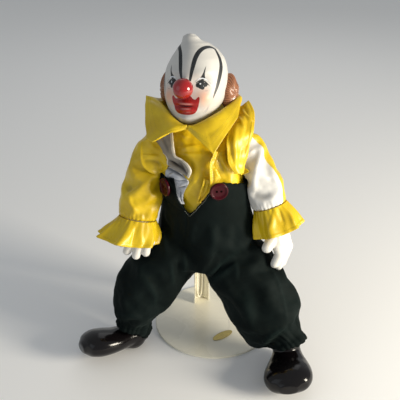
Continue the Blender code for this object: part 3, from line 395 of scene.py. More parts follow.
# Folds read from the photograph: a line of its pixels, half widths to either side in pixels, height in mm
YELLOW_SLEEVE_FOLDS = [
    ([(142, 155), (150, 155.5), (159, 156)], (2.0, 3.5), 1.1),
    ([(123, 202), (131, 195), (140, 188.5), (152, 179), (165, 169)], (3.0, 5.5), 1.9),
    ([(129.6, 197), (131.5, 205), (137, 213)], (1.6, 2.4), 1.1),
    ([(151, 195), (156, 188), (160, 181)], (3.0, 3.0), -1.3),
    ([(126, 190), (132, 187)], (3.5, 3.5), -1.4),
    ([(130, 163), (134, 172), (136, 181)], (4.0, 4.0), 0.8),
    ([(146, 205), (150, 197), (153, 189)], (2.5, 4.0), 1.0),
    ([(133, 218), (141, 215), (150, 217)], (2.5, 2.5), -0.7),
    ([(120, 210), (124, 214)], (2.0, 2.0), 0.8),
]
WHITE_SLEEVE_FOLDS = [
    ([(262.3, 142), (261.2, 152), (258.4, 165), (255.0, 178), (254.4, 190)], (2.4, 5.0), 1.8),
    ([(248.5, 153), (254.4, 150.2)], (1.5, 2.5), 0.9),
    ([(253, 194.5), (261, 196.5), (271, 194.5)], (3.0, 3.0), -1.2),
    ([(266, 160), (270, 172), (272, 184)], (4.0, 4.0), -0.9),
    ([(247, 160), (246, 172), (247, 186)], (3.5, 3.5), -0.9),
    ([(244, 196), (247, 203), (252, 207)], (2.5, 2.5), 0.7),
]
BLOUSE_FOLDS = [
    ([(224.6, 141), (225, 149), (217, 154.4)], (1.0, 1.2), 1.4),
    ([(226.4, 148), (227.2, 157), (227.8, 164)], (1.3, 1.3), -1.5),
    ([(221.5, 156), (223, 162), (226, 166)], (1.3, 1.8), 1.0),
    ([(218, 158), (221, 165), (224, 172)], (1.6, 1.6), -0.9),
    ([(182.5, 134), (185, 136.6), (188, 136)], (1.2, 1.4), 1.2),
    ([(178, 150.5), (187, 147), (197, 146.5), (207, 151)], (1.5, 3.0), 1.3),
    ([(184, 196), (189, 187), (197, 178)], (1.4, 2.6), 1.0),
    ([(176, 153), (188, 154.5), (202, 154)], (1.6, 2.6), 1.0),
    ([(196, 156), (200, 166), (204, 176)], (3.0, 4.0), 0.9),
    ([(191, 160), (192, 172), (190, 184)], (2.5, 2.5), -0.8),
    ([(183, 185), (186, 195), (187, 205)], (2.0, 2.5), 0.6),
    ([(226, 166), (229, 176), (232, 184)], (2.5, 3.0), 0.8),
]
VELVET_FOLDS = [
    ([(187, 214), (186.3, 226), (186, 240)], (0.9, 0.9), -0.8),
    ([(203, 277), (213, 270), (223, 261), (234, 253)], (2.0, 4.5), 1.7),
    ([(206, 281), (216, 277), (227, 270), (237, 262)], (2.0, 5.0), 1.5),
    ([(204, 273), (213, 262), (219, 250)], (2.0, 3.0), -1.2),
    ([(235.5, 262), (237, 270), (237, 279)], (1.8, 3.2), 1.0),
    ([(272, 268), (280, 286), (284.5, 305), (287, 322)], (1.2, 2.0), 0.9),
    ([(244, 290), (249, 306), (250, 322)], (7.0, 7.0), 1.3),
    ([(227, 296), (236, 312), (246, 328)], (3.0, 5.0), -1.1),
    ([(262, 344), (268, 338), (276, 332), (283, 329)], (2.0, 3.5), 1.8),
    ([(266, 349), (273, 342), (281, 336)], (1.5, 2.5), -1.4),
    ([(171, 262), (172, 274), (174, 285)], (2.0, 2.5), 1.2),
    ([(184, 252), (185, 264), (186, 274)], (2.0, 2.5), 1.2),
    ([(178, 258), (178, 268), (179, 276)], (1.8, 1.8), -1.0),
    ([(144, 277), (151, 286), (155, 297), (153, 307)], (2.2, 6.0), 1.3),
    ([(124, 292), (128, 302), (136, 309)], (5.0, 5.0), -0.9),
    ([(118, 313), (126, 315), (135, 316), (142, 321)], (2.0, 3.0), 1.3),
    ([(143, 333), (146, 327), (149.5, 324)], (1.4, 2.2), 1.2),
    ([(128, 320), (137, 320), (146, 316)], (2.0, 2.0), -1.2),
    ([(188, 228), (190, 240), (192, 252)], (5.0, 5.0), 0.5),
    ([(212, 226), (214, 240), (210, 254)], (4.0, 6.0), 0.8),
    ([(160, 226), (164, 240), (166, 256)], (3.0, 5.0), 0.9),
]
COLLAR_FOLDS = [
    ([(148, 99), (154, 101), (160, 105)], (1.8, 2.5), -1.0),
    ([(166, 124), (172, 128), (179, 129)], (4.0, 4.0), 0.8),
    ([(206, 122), (216, 118), (226, 112)], (4.0, 5.0), 1.0),
    ([(206, 134), (214, 131), (222, 125)], (3.0, 3.5), -0.8),
    ([(154, 112), (160, 122), (160, 134)], (3.0, 4.0), -0.7),
]
RIGHT_CUFF_FOLDS = [
    ([(121, 219), (117, 228), (113, 238)], (1.4, 4.5), 1.5),
    ([(136, 225), (134, 234), (131.5, 244)], (2.5, 2.0), -1.8),
    ([(140.7, 225.6), (141, 235), (141.6, 244)], (1.6, 3.5), 1.4),
    ([(102, 229), (109, 225), (118, 222)], (2.0, 2.5), 1.2),
    ([(152, 226), (153, 236), (154, 245)], (3.0, 3.0), -0.8),
]
LEFT_CUFF_FOLDS = [
    ([(261.4, 206.5), (262.5, 216), (264.3, 226)], (2.0, 1.8), -1.8),
    ([(274.5, 202.5), (273.5, 212), (271.5, 222), (269, 229)], (3.5, 1.6), 1.8),
    ([(278, 203.5), (280.5, 213), (284, 223)], (1.8, 2.6), -2.2),
    ([(287.5, 207), (290.5, 215), (294, 223.5)], (2.0, 1.4), 1.4),
    ([(255, 213), (254, 226), (254, 238)], (2.5, 2.5), 0.9),
]

# Pieces laid on the blouse: for each row, a pixel of the left edge and one of the right edge
WHITE_RUFFLE = [
    (149.5, 138.0, 172.5, 129.0), (149.8, 141.0, 173.2, 136.0), (155.0, 146.5, 173.9, 143.0),
    (160.6, 151.3, 174.8, 150.0), (165.0, 155.0, 176.5, 156.0), (167.0, 159.0, 182.0, 159.2),
    (167.2, 162.5, 188.5, 164.5), (169.0, 166.0, 191.6, 170.0), (178.0, 170.2, 190.8, 174.8),
    (184.5, 174.0, 188.5, 178.2),
]
WHITE_RUFFLE_FOLDS = [
    ([(170, 160.6), (177.5, 165.6), (183.8, 171.3), (187, 175)], (1.5, 1.5), -2.4),
    ([(167.4, 163), (174, 167), (182, 171.8), (186, 175)], (1.6, 1.0), 1.4),
    ([(163, 138), (166, 146), (168.5, 152)], (2.2, 1.2), -0.9),
    ([(171.5, 131), (172.8, 142), (173.6, 151), (176.5, 157), (181, 158.6)], (1.5, 1.0), 1.5),
    ([(170.2, 160.8), (173.5, 163.2), (177.5, 166.4)], (1.3, 0.9), -1.2),
    ([(178.5, 161.5), (181.5, 165.5), (184.5, 170)], (1.5, 1.9), -1.4),
    ([(184, 161.5), (188.5, 166), (190.4, 171), (188.6, 176)], (1.6, 1.2), 1.4),
]
WHITE_UNDER_RUFFLE = [
    (165.9, 166.5, 176.0, 168.5), (165.8, 172.0, 183.0, 175.0), (166.0, 176.8, 187.5, 180.0),
    (173.0, 178.5, 188.8, 182.5), (175.0, 183.5, 186.5, 187.5), (176.3, 190.5, 183.9, 193.0),
    (178.0, 197.5, 183.0, 198.8), (180.5, 204.0, 184.6, 204.0),
]
WHITE_UNDER_FOLDS = [
    ([(167, 168), (172, 170.6), (179, 174), (186, 178.6)], (1.4, 1.6), -2.4),
    ([(168.5, 177), (170.5, 173.5), (174, 173)], (0.9, 0.9), -1.1),
    ([(176, 179.8), (181, 180.5), (187.5, 181)], (0.8, 0.8), -1.2),
    ([(167, 174), (171, 175.5), (174, 172)], (1.3, 1.3), 1.2),
    ([(173, 178), (178, 179), (182, 181.5)], (1.4, 1.2), 1.0),
    ([(180, 186), (184, 183.5), (188.5, 182)], (1.0, 1.6), 1.3),
    ([(178, 188), (182, 187), (186, 186)], (1.2, 1.2), -1.2),
    ([(175.5, 184), (177.5, 192), (180.5, 200)], (1.2, 1.6), 1.0),
    ([(180, 190), (180.8, 197), (182, 203)], (0.9, 0.9), -1.0),
    ([(182.4, 194), (182.2, 199), (183.6, 203)], (0.8, 0.8), 0.8),
]
YELLOW_RUFFLE = [
    (213.5, 150.0, 217.5, 152.0), (212.0, 156.0, 216.0, 157.0), (209.5, 161.0, 213.7, 162.5),
    (208.6, 165.5, 213.6, 166.5), (209.0, 170.0, 216.8, 170.5), (209.3, 175.0, 219.7, 175.5),
    (209.7, 180.0, 219.9, 179.0), (210.2, 187.0, 216.0, 185.0),
]
YELLOW_RUFFLE_FOLDS = [
    ([(214.5, 153), (209.6, 162), (209.6, 172), (210.8, 186)], (1.0, 1.8), 1.3),
    ([(212, 165), (215.5, 171), (218.8, 177)], (1.0, 1.6), 0.9),
    ([(213, 168), (213.5, 176), (213.2, 183)], (1.6, 1.6), -0.8),
]
YELLOW_UNDER_RUFFLE = [
    (203.5, 178.5, 210.0, 180.0), (202.0, 185.0, 210.5, 187.0), (200.0, 190.5, 209.8, 191.5),
    (198.3, 196.0, 205.5, 196.0), (196.8, 203.0, 199.8, 202.5),
]
YELLOW_UNDER_FOLDS = [
    ([(204.2, 179), (201.5, 189), (197.8, 202)], (0.8, 1.4), 1.0),
    ([(206.5, 182), (204.5, 188), (203.5, 193)], (0.9, 0.9), -0.8),
    ([(208, 184), (206.8, 189), (205, 194)], (0.9, 1.2), 0.8),
    ([(203.4, 188), (206, 190), (208, 189)], (0.8, 0.8), 0.5),
]
SHOULDER_FLAP = [
    (141.5, 142.0, 153.0, 137.0), (140.4, 149.0, 160.5, 147.0), (140.4, 157.0, 165.5, 156.0),
    (142.0, 165.0, 167.2, 163.0), (148.5, 171.0, 167.5, 168.0), (156.5, 174.5, 164.0, 171.5),
]
SHOULDER_FLAP_FOLDS = [
    ([(142, 155.2), (150, 155.6), (159, 156)], (1.2, 3.0), 1.2),
    ([(144, 161), (153, 161), (165, 165)], (2.5, 2.5), -0.8),
    ([(141.2, 143), (141.2, 157), (145, 168), (157, 173.8)], (1.6, 1.2), 0.9),
    ([(160, 158), (163, 163), (165.5, 165.5)], (1.2, 1.6), 1.0),
    ([(150, 143), (155, 148), (160, 150)], (2.0, 2.5), 0.7),
]
FLOUNCE_FOLDS = [
    ([(243, 111), (248, 117), (254, 122)], (1.0, 1.5), 1.3),
    ([(242, 104), (246, 112), (247, 124), (244, 140)], (2.5, 2.5), -1.0),
    ([(251.5, 124), (250, 136), (246.5, 150), (242, 168)], (1.6, 1.0), 0.9),
    ([(236, 126), (234.5, 142), (235.5, 158)], (2.5, 4.0), 1.4),
    ([(230.5, 138), (231.5, 152), (234, 165)], (1.5, 2.5), -1.2),
    ([(241.5, 148), (239.5, 160), (238.5, 170)], (2.0, 2.0), -1.0),
    ([(236, 116), (241, 121), (245, 128)], (1.6, 2.0), 1.0),
]
FLOUNCE_TIP = [
    (240.4, 175.0, 243.4, 166.8), (243.0, 174.4, 245.0, 167.8), (246.0, 173.2, 246.6, 169.2),
    (248.8, 172.0, 248.4, 171.0),
]
BIB_CORNER = [
    (159.5, 177.0, 173.6, 178.0), (159.8, 183.0, 175.0, 184.0), (160.0, 190.0, 176.2, 191.5),
    (163.0, 197.0, 177.4, 198.5), (170.0, 203.0, 180.6, 204.5), (178.0, 209.0, 185.5, 210.0),
]
BIB_CORNER_FOLDS = [
    ([(172.4, 178.5), (173.8, 185), (175.2, 193), (177.6, 200), (182, 206.5)], (1.2, 1.0), 0.6),
    ([(168, 197), (172, 201), (176, 205)], (2.0, 2.0), -0.5),
]

# Laid pieces: name, rows, folds, how far they stand off the cloth below, cloth, slot, crimp, nodes and hem
LAID_PIECES = (
    (
        "white_under_ruffle", WHITE_UNDER_RUFFLE, WHITE_UNDER_FOLDS, (1.2, 2.0, 2.4), "under_cloth",
        "white_satin", 0.25,
    ),
    (
        "white_ruffle", WHITE_RUFFLE, WHITE_RUFFLE_FOLDS, (2.0, 4.2, 6.2), "lining_cloth", "white_satin",
        0.1, ("right_front_frill",), 2.6,
    ),
    (
        "yellow_under_ruffle", YELLOW_UNDER_RUFFLE, YELLOW_UNDER_FOLDS, (2.6, 1.8, 1.6), "yellow_cloth",
        "yellow_satin", 0.3,
    ),
    (
        "yellow_ruffle", YELLOW_RUFFLE, YELLOW_RUFFLE_FOLDS, (5.2, 4.0, 2.4), "yellow_cloth", "yellow_satin",
        0.2, ("left_front_frill",),
    ),
    (
        "shoulder_flap", SHOULDER_FLAP, SHOULDER_FLAP_FOLDS, (1.6, 2.6, 3.2), "yellow_cloth", "yellow_satin",
        0.0, ("right_shoulder_frill",),
    ),
    ("bib_corner", BIB_CORNER, BIB_CORNER_FOLDS, (2.2, 4.6, 5.4), "dark_velvet", "green_velvet"),
)
LAID_TIP = ("flounce_tip", FLOUNCE_TIP, [], (5.0, 4.4, 3.4), "yellow_cloth", "yellow_satin")


# Sizes and colours that a user may change

def colour_of(title, words, default):
    return bpy.props.FloatVectorProperty(
        name=title, description=words, default=default, size=3, min=0.0, max=1.0, subtype="COLOR"
    )


def length_of(title, words, default, top):
    return bpy.props.FloatProperty(
        name=title, description=words, default=default * MM, min=0.0, max=top * MM, unit="LENGTH", precision=5
    )


class ClownPorcelain(bpy.types.PropertyGroup):
    """Glaze and paint of the head, hands and shoes."""

    glaze: colour_of("Glaze", "White porcelain of the head and hands", (0.80, 0.775, 0.72))
    ink: colour_of("Ink", "Painted brow arches, flames and eyes", (0.012, 0.014, 0.016))
    rouge: colour_of("Rouge", "Painted mouth", (0.36, 0.014, 0.012))
    nose: colour_of("Nose", "Ball nose", (0.34, 0.006, 0.008))
    blush: colour_of("Blush", "Soft colour of the cheeks", (0.78, 0.40, 0.25))
    hair: colour_of("Hair", "Moulded hair over the ears", (0.29, 0.118, 0.057))
    shoe: colour_of("Shoe glaze", "Black glaze of the shoes", (0.0045, 0.0035, 0.004))


class ClownCloth(bpy.types.PropertyGroup):
    """Satin and velvet."""

    yellow: colour_of("Yellow satin", "Blouse, collar, cuffs and frills", (0.78, 0.56, 0.012))
    white: colour_of("White satin", "Left sleeve and right ruffle", (0.80, 0.79, 0.76))
    velvet: colour_of("Velvet", "Overalls", (0.0013, 0.0034, 0.0032))
    button: colour_of("Buttons", "Buttons of the bib", (0.045, 0.0009, 0.0045))
    sheet: length_of("Satin", "Thickness of one layer of satin with its lining", 0.9, 3.0)
    hem: length_of("Hem", "Width of a turned hem", 2.6, 8.0)
    stitch: length_of("Stitch", "Length of one stitch", 1.3, 5.0)
    thread: length_of("Thread", "Thickness of the sewing thread", 0.34, 1.0)
    fold: bpy.props.FloatProperty(
        name="Folds", description="Depth of the folds, as a share of the real one", default=1.0, min=0.0,
        max=2.0, subtype="FACTOR",
    )


class ClownStand(bpy.types.PropertyGroup):
    """The metal stand and its label."""

    enamel: colour_of("Enamel", "Cream enamel of the stand", (0.88, 0.84, 0.69))
    gold: colour_of("Foil", "Gold foil of the label", (0.50, 0.40, 0.14))
    wear: bpy.props.FloatProperty(
        name="Wear", description="Scuffs on the enamel", default=0.5, min=0.0, max=1.0, subtype="FACTOR"
    )


class ClownStage(bpy.types.PropertyGroup):
    """Floor and studio light."""

    floor: colour_of("Floor", "Pale floor", (0.92, 0.92, 0.92))
    sky: bpy.props.FloatProperty(
        name="Room light", description="Soft light from all round", default=0.36, min=0.0,
    )
    key: bpy.props.FloatProperty(
        name="Key light", description="Warm light from the viewer's right, in watts", default=17.0, min=0.0,
        unit="POWER",
    )
    fill: bpy.props.FloatProperty(
        name="Fill light", description="Cool light from the viewer's left, in watts", default=1.0, min=0.0,
        unit="POWER",
    )


# Curves and grids

def evened(grid, rounds):
    """A copy of a grid, softened along its rows. The ends of each row stay."""
    soft = grid.copy()
    for _ in range(rounds):
        soft[:, 1:-1] = (soft[:, :-2] + 2 * soft[:, 1:-1] + soft[:, 2:]) / 4
    return soft


def smooth_row(rows, share):
    """The row of numbers at a share of the way along, on a smooth curve through evenly spaced rows."""
    place = min(max(share, 0.0), 1.0) * (len(rows) - 1)
    i = min(int(place), len(rows) - 2)
    t = place - i
    before, here = rows[max(i - 1, 0)], rows[i]
    there, after = rows[i + 1], rows[min(i + 2, len(rows) - 1)]
    return [
        0.5 * (2 * b + (c - a) * t + (2 * a - 5 * b + 4 * c - d) * t * t + (3 * b - a - 3 * c + d) * t ** 3)
        for a, b, c, d in zip(before, here, there, after)
    ]


def row_at(rows, key):
    """The row whose first number is key, between rows of rising first numbers."""
    place = 0.0
    for i in range(len(rows) - 1):
        if key >= rows[i][0]:
            place = i + min((key - rows[i][0]) / (rows[i + 1][0] - rows[i][0]), 1.0)
    return smooth_row(rows, place / (len(rows) - 1))


def turn_z(x, y, degrees):
    a = math.radians(degrees)
    return x * math.cos(a) - y * math.sin(a), x * math.sin(a) + y * math.cos(a)


def unit(ways):
    return ways / np.maximum(np.linalg.norm(ways, axis=-1, keepdims=True), 1e-12)


def limb_frame(stations, share):
    """Middle, sideways and frontward ways, half sizes and direction of a limb at a share of its length."""
    x, y, z, wide, deep = smooth_row(stations, share)
    ahead = Vector(smooth_row(stations, share + 0.02)[:3]) - Vector(smooth_row(stations, share - 0.02)[:3])
    ahead.normalize()
    side = ahead.cross(Vector((0, -1, 0))).normalized()
    if side.x < 0:
        side.negate()
    front = side.cross(ahead)
    if front.y > 0:
        front.negate()
    return Vector((x, y, z)), side, front, wide, deep, ahead


def trunk_point(degrees, z, out=0.0):
    """A point on the trunk at an angle from the middle of its front, moved out by some millimetres."""
    _, middle_x, middle_y, wide, deep = row_at(TRUNK, z)
    a = math.radians(degrees)
    x, y = turn_z((wide + out) * math.sin(a), -(deep + out) * math.cos(a), BODY_TURN)
    return Vector((middle_x + x, middle_y + y, z))


def bib_top(degrees):
    """The height of the bib's edge at an angle from the middle of the front."""
    place = (degrees + 180.0) % 360.0 - 180.0
    away = abs(place)
    if away < BIB_POINT_AT:
        point = math.copysign(BIB_POINT_AT, place - BIB_V_AT)
        return BIB_V_FOOT + (BIB_POINT - BIB_V_FOOT) * (place - BIB_V_AT) / (point - BIB_V_AT)
    low, high, start, end = BIB_POINT, BIB_SIDE, BIB_POINT_AT, 90.0
    if away > 90.0:
        low, high, start, end = BIB_SIDE, BIB_BACK, 90.0, 180.0
    share = (away - start) / (end - start)
    return low + (high - low) * (3 * share ** 2 - 2 * share ** 3)


# Meshes

def object_of(name, points, faces):
    """A mesh from points in millimetres, facing out if it is closed."""
    mesh = bpy.data.meshes.new(name)
    mesh.from_pydata((np.asarray(points, dtype=float) * MM).tolist(), [], faces)
    work = bmesh.new()
    work.from_mesh(mesh)
    bmesh.ops.recalc_face_normals(work, faces=work.faces)
    if work.calc_volume(signed=True) < 0:
        bmesh.ops.reverse_faces(work, faces=work.faces)
    work.to_mesh(mesh)
    work.free()
    mesh.shade_smooth()
    made = bpy.data.objects.new(name, mesh)
    bpy.context.scene.collection.objects.link(made)
    return made


def grid_faces(rows, columns, closed=False, start=0):
    last = columns if closed else columns - 1
    return [
        (
            start + r * columns + c,
            start + r * columns + (c + 1) % columns,
            start + (r + 1) * columns + (c + 1) % columns,
            start + (r + 1) * columns + c,
        )
        for r in range(rows - 1)
        for c in range(last)
    ]


def tube_of_rings(name, rings, tips=None):
    """A closed piece through rings of points, each end drawn in to a point."""
    rings = np.asarray(rings, dtype=float)
    rows, sides = rings.shape[:2]
    ends = tips if tips is not None else (rings[0].mean(axis=0), rings[-1].mean(axis=0))
    points = np.concatenate([rings.reshape(-1, 3), np.asarray(ends, dtype=float)])
    faces = grid_faces(rows, sides, True)
    first, last = rows * sides, rows * sides + 1
    faces += [(i, (i + 1) % sides, first) for i in range(sides)]
    top = (rows - 1) * sides
    faces += [(top + i, top + (i + 1) % sides, last) for i in range(sides)]
    return object_of(name, points, faces)


def grid_normals(grid, closed):
    up = np.empty_like(grid)
    up[1:-1] = grid[2:] - grid[:-2]
    up[0] = grid[1] - grid[0]
    up[-1] = grid[-1] - grid[-2]
    if closed:
        across = np.roll(grid, -1, axis=1) - np.roll(grid, 1, axis=1)
    else:
        across = np.empty_like(grid)
        across[:, 1:-1] = grid[:, 2:] - grid[:, :-2]
        across[:, 0] = grid[:, 1] - grid[:, 0]
        across[:, -1] = grid[:, -1] - grid[:, -2]
    return unit(np.cross(across, up))


def cloth_of_grid(name, grid, half, closed=False):
    """A thin closed piece on both sides of a grid. half is the half thickness at each of its points."""
    rows, columns = grid.shape[:2]
    normals = grid_normals(grid, closed)
    offset = normals * np.broadcast_to(np.asarray(half, dtype=float), (rows, columns))[..., None]
    points = np.concatenate([(grid + offset).reshape(-1, 3), (grid - offset).reshape(-1, 3)])
    back = rows * columns
    front_faces = grid_faces(rows, columns, closed)
    faces = front_faces + [tuple(reversed([back + v for v in face])) for face in front_faces]
    last = columns if closed else columns - 1
    for r in (0, rows - 1):
        for c in range(last):
            a, b = r * columns + c, r * columns + (c + 1) % columns
            faces.append((back + a, back + b, b, a) if r == 0 else (a, b, back + b, back + a))
    if not closed:
        for c in (0, columns - 1):
            for r in range(rows - 1):
                a, b = r * columns + c, (r + 1) * columns + c
                faces.append((a, b, back + b, back + a) if c == 0 else (back + a, back + b, b, a))
    return object_of(name, points, faces)


def places_of(piece):
    """The piece's points and their normals, in millimetres."""
    mesh = piece.data
    places = np.empty(len(mesh.vertices) * 3)
    mesh.vertices.foreach_get("co", places)
    normals = np.empty(len(mesh.vertices) * 3)
    mesh.vertex_normals.foreach_get("vector", normals)
    return places.reshape(-1, 3) / MM, normals.reshape(-1, 3)


def put_places(piece, places):
    piece.data.vertices.foreach_set("co", (places * MM).ravel())
    piece.data.update()


def mark(piece, name, values):
    """Keeps a number for each point, which the piece's material reads."""
    layer = piece.data.attributes.new(name, "FLOAT", "POINT")
    layer.data.foreach_set("value", np.asarray(values, dtype=np.float32))


def applied(piece):
    """Replaces the piece's mesh by what its modifiers make of it."""
    graph = bpy.context.evaluated_depsgraph_get()
    mesh = bpy.data.meshes.new_from_object(piece.evaluated_get(graph))
    piece.modifiers.clear()
    piece.data = mesh
    mesh.shade_smooth()
    return piece


def softened(piece, rounds):
    """Applies the piece's modifiers and some rounds of smoothing."""
    soften = piece.modifiers.new("soften", "SMOOTH")
    soften.factor = 0.5
    soften.iterations = rounds
    return applied(piece)


def islands_of(work):
    """The groups of points that hang together."""
    left, islands = set(work.verts), []
    while left:
        island, edge = set(), [left.pop()]
        while edge:
            point = edge.pop()
            island.add(point)
            for other in [link.other_vert(point) for link in point.link_edges]:
                if other in left:
                    left.remove(other)
                    edge.append(other)
        islands.append(island)
    return islands


def melted(piece, voxel, rounds):
    """One even smooth skin over a closed mesh, or over several that overlap. Hollows inside it are dropped."""
    skin = piece.modifiers.new("skin", "REMESH")
    skin.mode = "VOXEL"
    skin.voxel_size = voxel * MM
    softened(piece, rounds)
    work = bmesh.new()
    work.from_mesh(piece.data)
    islands = islands_of(work)
    keep = max(islands, key=len)
    inner = [point for island in islands if island is not keep for point in island]
    bmesh.ops.delete(work, geom=inner, context="VERTS")
    work.to_mesh(piece.data)
    work.free()
    return piece


def finer(piece, levels=1):
    grain = piece.modifiers.new("finer", "SUBSURF")
    grain.levels = levels
    return applied(piece)


def hold_points(piece, free):
    """Pins each point, wholly where free is 0 and by the stuffing alone where it is 1."""
    held = piece.vertex_groups.new(name="held")
    levels = np.round(np.clip(free, 0.0, 1.0) * HOLD_STEPS) / HOLD_STEPS
    for level in np.unique(levels):
        held.add(np.flatnonzero(levels == level).tolist(), 1.0 - (1.0 - STUFFING_HOLD) * level, "REPLACE")
    return held.name


def settle(context, piece, held, slack, bend):
    """Runs the cloth simulation on the piece and keeps where it ends."""
    settling = piece.modifiers.new("settling", "CLOTH")
    cloth = settling.settings
    for key, value in SETTLING.items():
        setattr(cloth, key, value)
    cloth.bending_stiffness = bend
    cloth.shrink_min = -slack
    cloth.vertex_group_mass = held
    cloth.effector_weights.gravity = 0.0
    settling.collision_settings.use_collision = False
    settling.collision_settings.use_self_collision = False
    settling.point_cache.frame_start = 1
    settling.point_cache.frame_end = SETTLING_FRAMES
    for moment in range(1, SETTLING_FRAMES + 1):
        context.scene.frame_set(moment)
    applied(piece)
    context.scene.frame_set(1)
    piece.vertex_groups.clear()


def crumpled(context, piece, free, slack, bend, share):
    """Lets cloth that is cut larger than what fills it settle into folds, and keeps a share of how it moved. free
    is from 0 where a point is sewn down to 1 where only the stuffing holds it."""
    before, normals = places_of(piece)
    piece.data.transform(Matrix.Scale(CLOTH_SCALE, 4))
    settle(context, piece, hold_points(piece, free), slack, bend)
    piece.data.transform(Matrix.Scale(1 / CLOTH_SCALE, 4))
    after, _ = places_of(piece)
    moved = after - before
    swelling = ((moved * normals).sum(axis=1) * free).sum() / max(free.sum(), 1e-9)
    keep = share * (BACK_KEEPS + (1 - BACK_KEEPS) * facing(before, normals))[:, None]
    put_places(piece, before + (moved - normals * (swelling * free)[:, None]) * keep)
    return softened(piece, SETTLED_ROUNDS)


def joined(name, pieces):
    """One object from several meshes. The pieces are used up."""
    work = bmesh.new()
    for piece in pieces:
        work.from_mesh(piece.data)
        mesh = piece.data
        bpy.data.objects.remove(piece)
        bpy.data.meshes.remove(mesh)
    mesh = bpy.data.meshes.new(name)
    work.to_mesh(mesh)
    work.free()
    mesh.shade_smooth()
    made = bpy.data.objects.new(name, mesh)
    bpy.context.scene.collection.objects.link(made)
    return made


def copy_of(node, name):
    made = bpy.data.objects.new(name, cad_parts[node].data.copy())
    made.data.materials.clear()
    bpy.context.scene.collection.objects.link(made)
    return made


def rod_rings(start, end, radius, end_radius, sides=28):
    start, end = Vector(start), Vector(end)
    ahead = (end - start).normalized()
    side = ahead.cross(Vector((0.3, -1, 0.2))).normalized()
    other = ahead.cross(side)
    turns = [math.tau * i / sides for i in range(sides)]
    ways = [side * math.cos(a) + other * math.sin(a) for a in turns]
    rings = []
    for middle, size, tilts in ((start, radius, range(-80, 1, 20)), (end, end_radius, range(0, 81, 20))):
        for tilt in tilts:
            a = math.radians(tilt)
            rings.append([middle + ahead * size * math.sin(a) + way * size * math.cos(a) for way in ways])
    return rings


def rod(start, end, radius, end_radius=None):
    """A straight rod with round ends."""
    return tube_of_rings("rod", rod_rings(start, end, radius, radius if end_radius is None else end_radius))


# Folds

def photo_place(places):
    """Where points, in millimetres, fall in the photograph."""
    off = places * MM - np.array(CAMERA_PLACE)
    depth = off[..., 1] * math.cos(CAMERA_DIP) - off[..., 2] * math.sin(CAMERA_DIP)
    up = off[..., 1] * math.sin(CAMERA_DIP) + off[..., 2] * math.cos(CAMERA_DIP)
    x = PHOTO_SIDE / 2 + PHOTO_FOCUS * off[..., 0] / depth
    y = PHOTO_SIDE / 2 - PHOTO_FOCUS * up / depth
    return np.stack([x, y], axis=-1)


def photo_ways(pixels):
    """The direction in which the photograph's camera sees each pixel."""
    x = (pixels[..., 0] - PHOTO_SIDE / 2) / PHOTO_FOCUS
    up = (PHOTO_SIDE / 2 - pixels[..., 1]) / PHOTO_FOCUS
    y = math.cos(CAMERA_DIP) + up * math.sin(CAMERA_DIP)
    z = -math.sin(CAMERA_DIP) + up * math.cos(CAMERA_DIP)
    return unit(np.stack([x, y, z], axis=-1))


def laid_on(tree, pixels, rounds):
    """A grid of points, in millimetres, where a grid of pixels falls on the cloth below, evened out."""
    ways = photo_ways(pixels)
    far = np.full(pixels.shape[:2], np.nan)
    for r, c in np.ndindex(far.shape):
        spot = tree.ray_cast(CAMERA_PLACE, Vector(ways[r, c]))[0]
        if spot:
            far[r, c] = (spot - CAMERA_PLACE).length
    far[np.isnan(far)] = np.nanmedian(far)
    for _ in range(rounds):
        wide = np.pad(far, 1, mode="edge")
        far = (wide[1:-1, 1:-1] * 4 + wide[:-2, 1:-1] + wide[2:, 1:-1] + wide[1:-1, :-2] + wide[1:-1, 2:]) / 8
    return (np.array(CAMERA_PLACE) + ways * far[..., None]) / MM, ways


def facing(places, normals):
    """How squarely each point faces the photograph's camera, from 0 to 1."""
    ways = unit(np.array(CAMERA_PLACE) / MM - places)
    return np.clip((ways * normals).sum(axis=-1) * 2.2, 0.0, 1.0)


def line_distance(points, line):
    """For each point, its distance to a line of points, the place along it and the side it lies on."""
    line = np.asarray(line, dtype=float)
    best = np.full(points.shape[:-1], 1e9)
    along = np.zeros(points.shape[:-1])
    side = np.ones(points.shape[:-1])
    for i in range(len(line) - 1):
        a, way = line[i], line[i + 1] - line[i]
        off = points - a
        t = np.clip((off * way).sum(axis=-1) / max((way * way).sum(), 1e-9), 0.0, 1.0)
        distance = np.linalg.norm(off - t[..., None] * way, axis=-1)
        closer = distance < best
        best = np.where(closer, distance, best)
        along = np.where(closer, (i + t) / (len(line) - 1), along)
        if points.shape[-1] == 2:
            turn = way[0] * off[..., 1] - way[1] * off[..., 0]
            side = np.where(closer, np.sign(turn), side)
    return best, along, side


def fold_lift(places, normals, folds, depth=1.0):
    """How far the photograph's folds raise each point."""
    pixels = photo_place(places)
    lift = np.zeros(places.shape[:-1])
    for line, (left, right), height in folds:
        smooth = [smooth_row(line, i / 16) for i in range(17)]
        distance, along, side = line_distance(pixels, smooth)
        width = np.where(side > 0, right, left)
        taper = np.sin(np.clip(along, 0.04, 0.96) * math.pi) ** 0.5
        lift += height * taper * np.exp(-(distance / width) ** 2)
    return lift * facing(places, normals) * depth


def limb_place(places, stations, steps=80):
    """The share along a limb and the angle round it, from its outer or left side towards the front."""
    rows = [limb_frame(stations, i / (steps - 1)) for i in range(steps)]
    middles = np.array([tuple(row[0]) for row in rows])
    sides = np.array([tuple(row[1]) for row in rows])
    fronts = np.array([tuple(row[2]) for row in rows])
    nearest = np.argmin(((places[:, None, :] - middles[None]) ** 2).sum(axis=-1), axis=1)
    off = places - middles[nearest]
    x = (off * sides[nearest]).sum(axis=-1)
    y = (off * fronts[nearest]).sum(axis=-1)
    return nearest / (steps - 1), np.arctan2(y, x), np.sqrt(x * x + y * y)


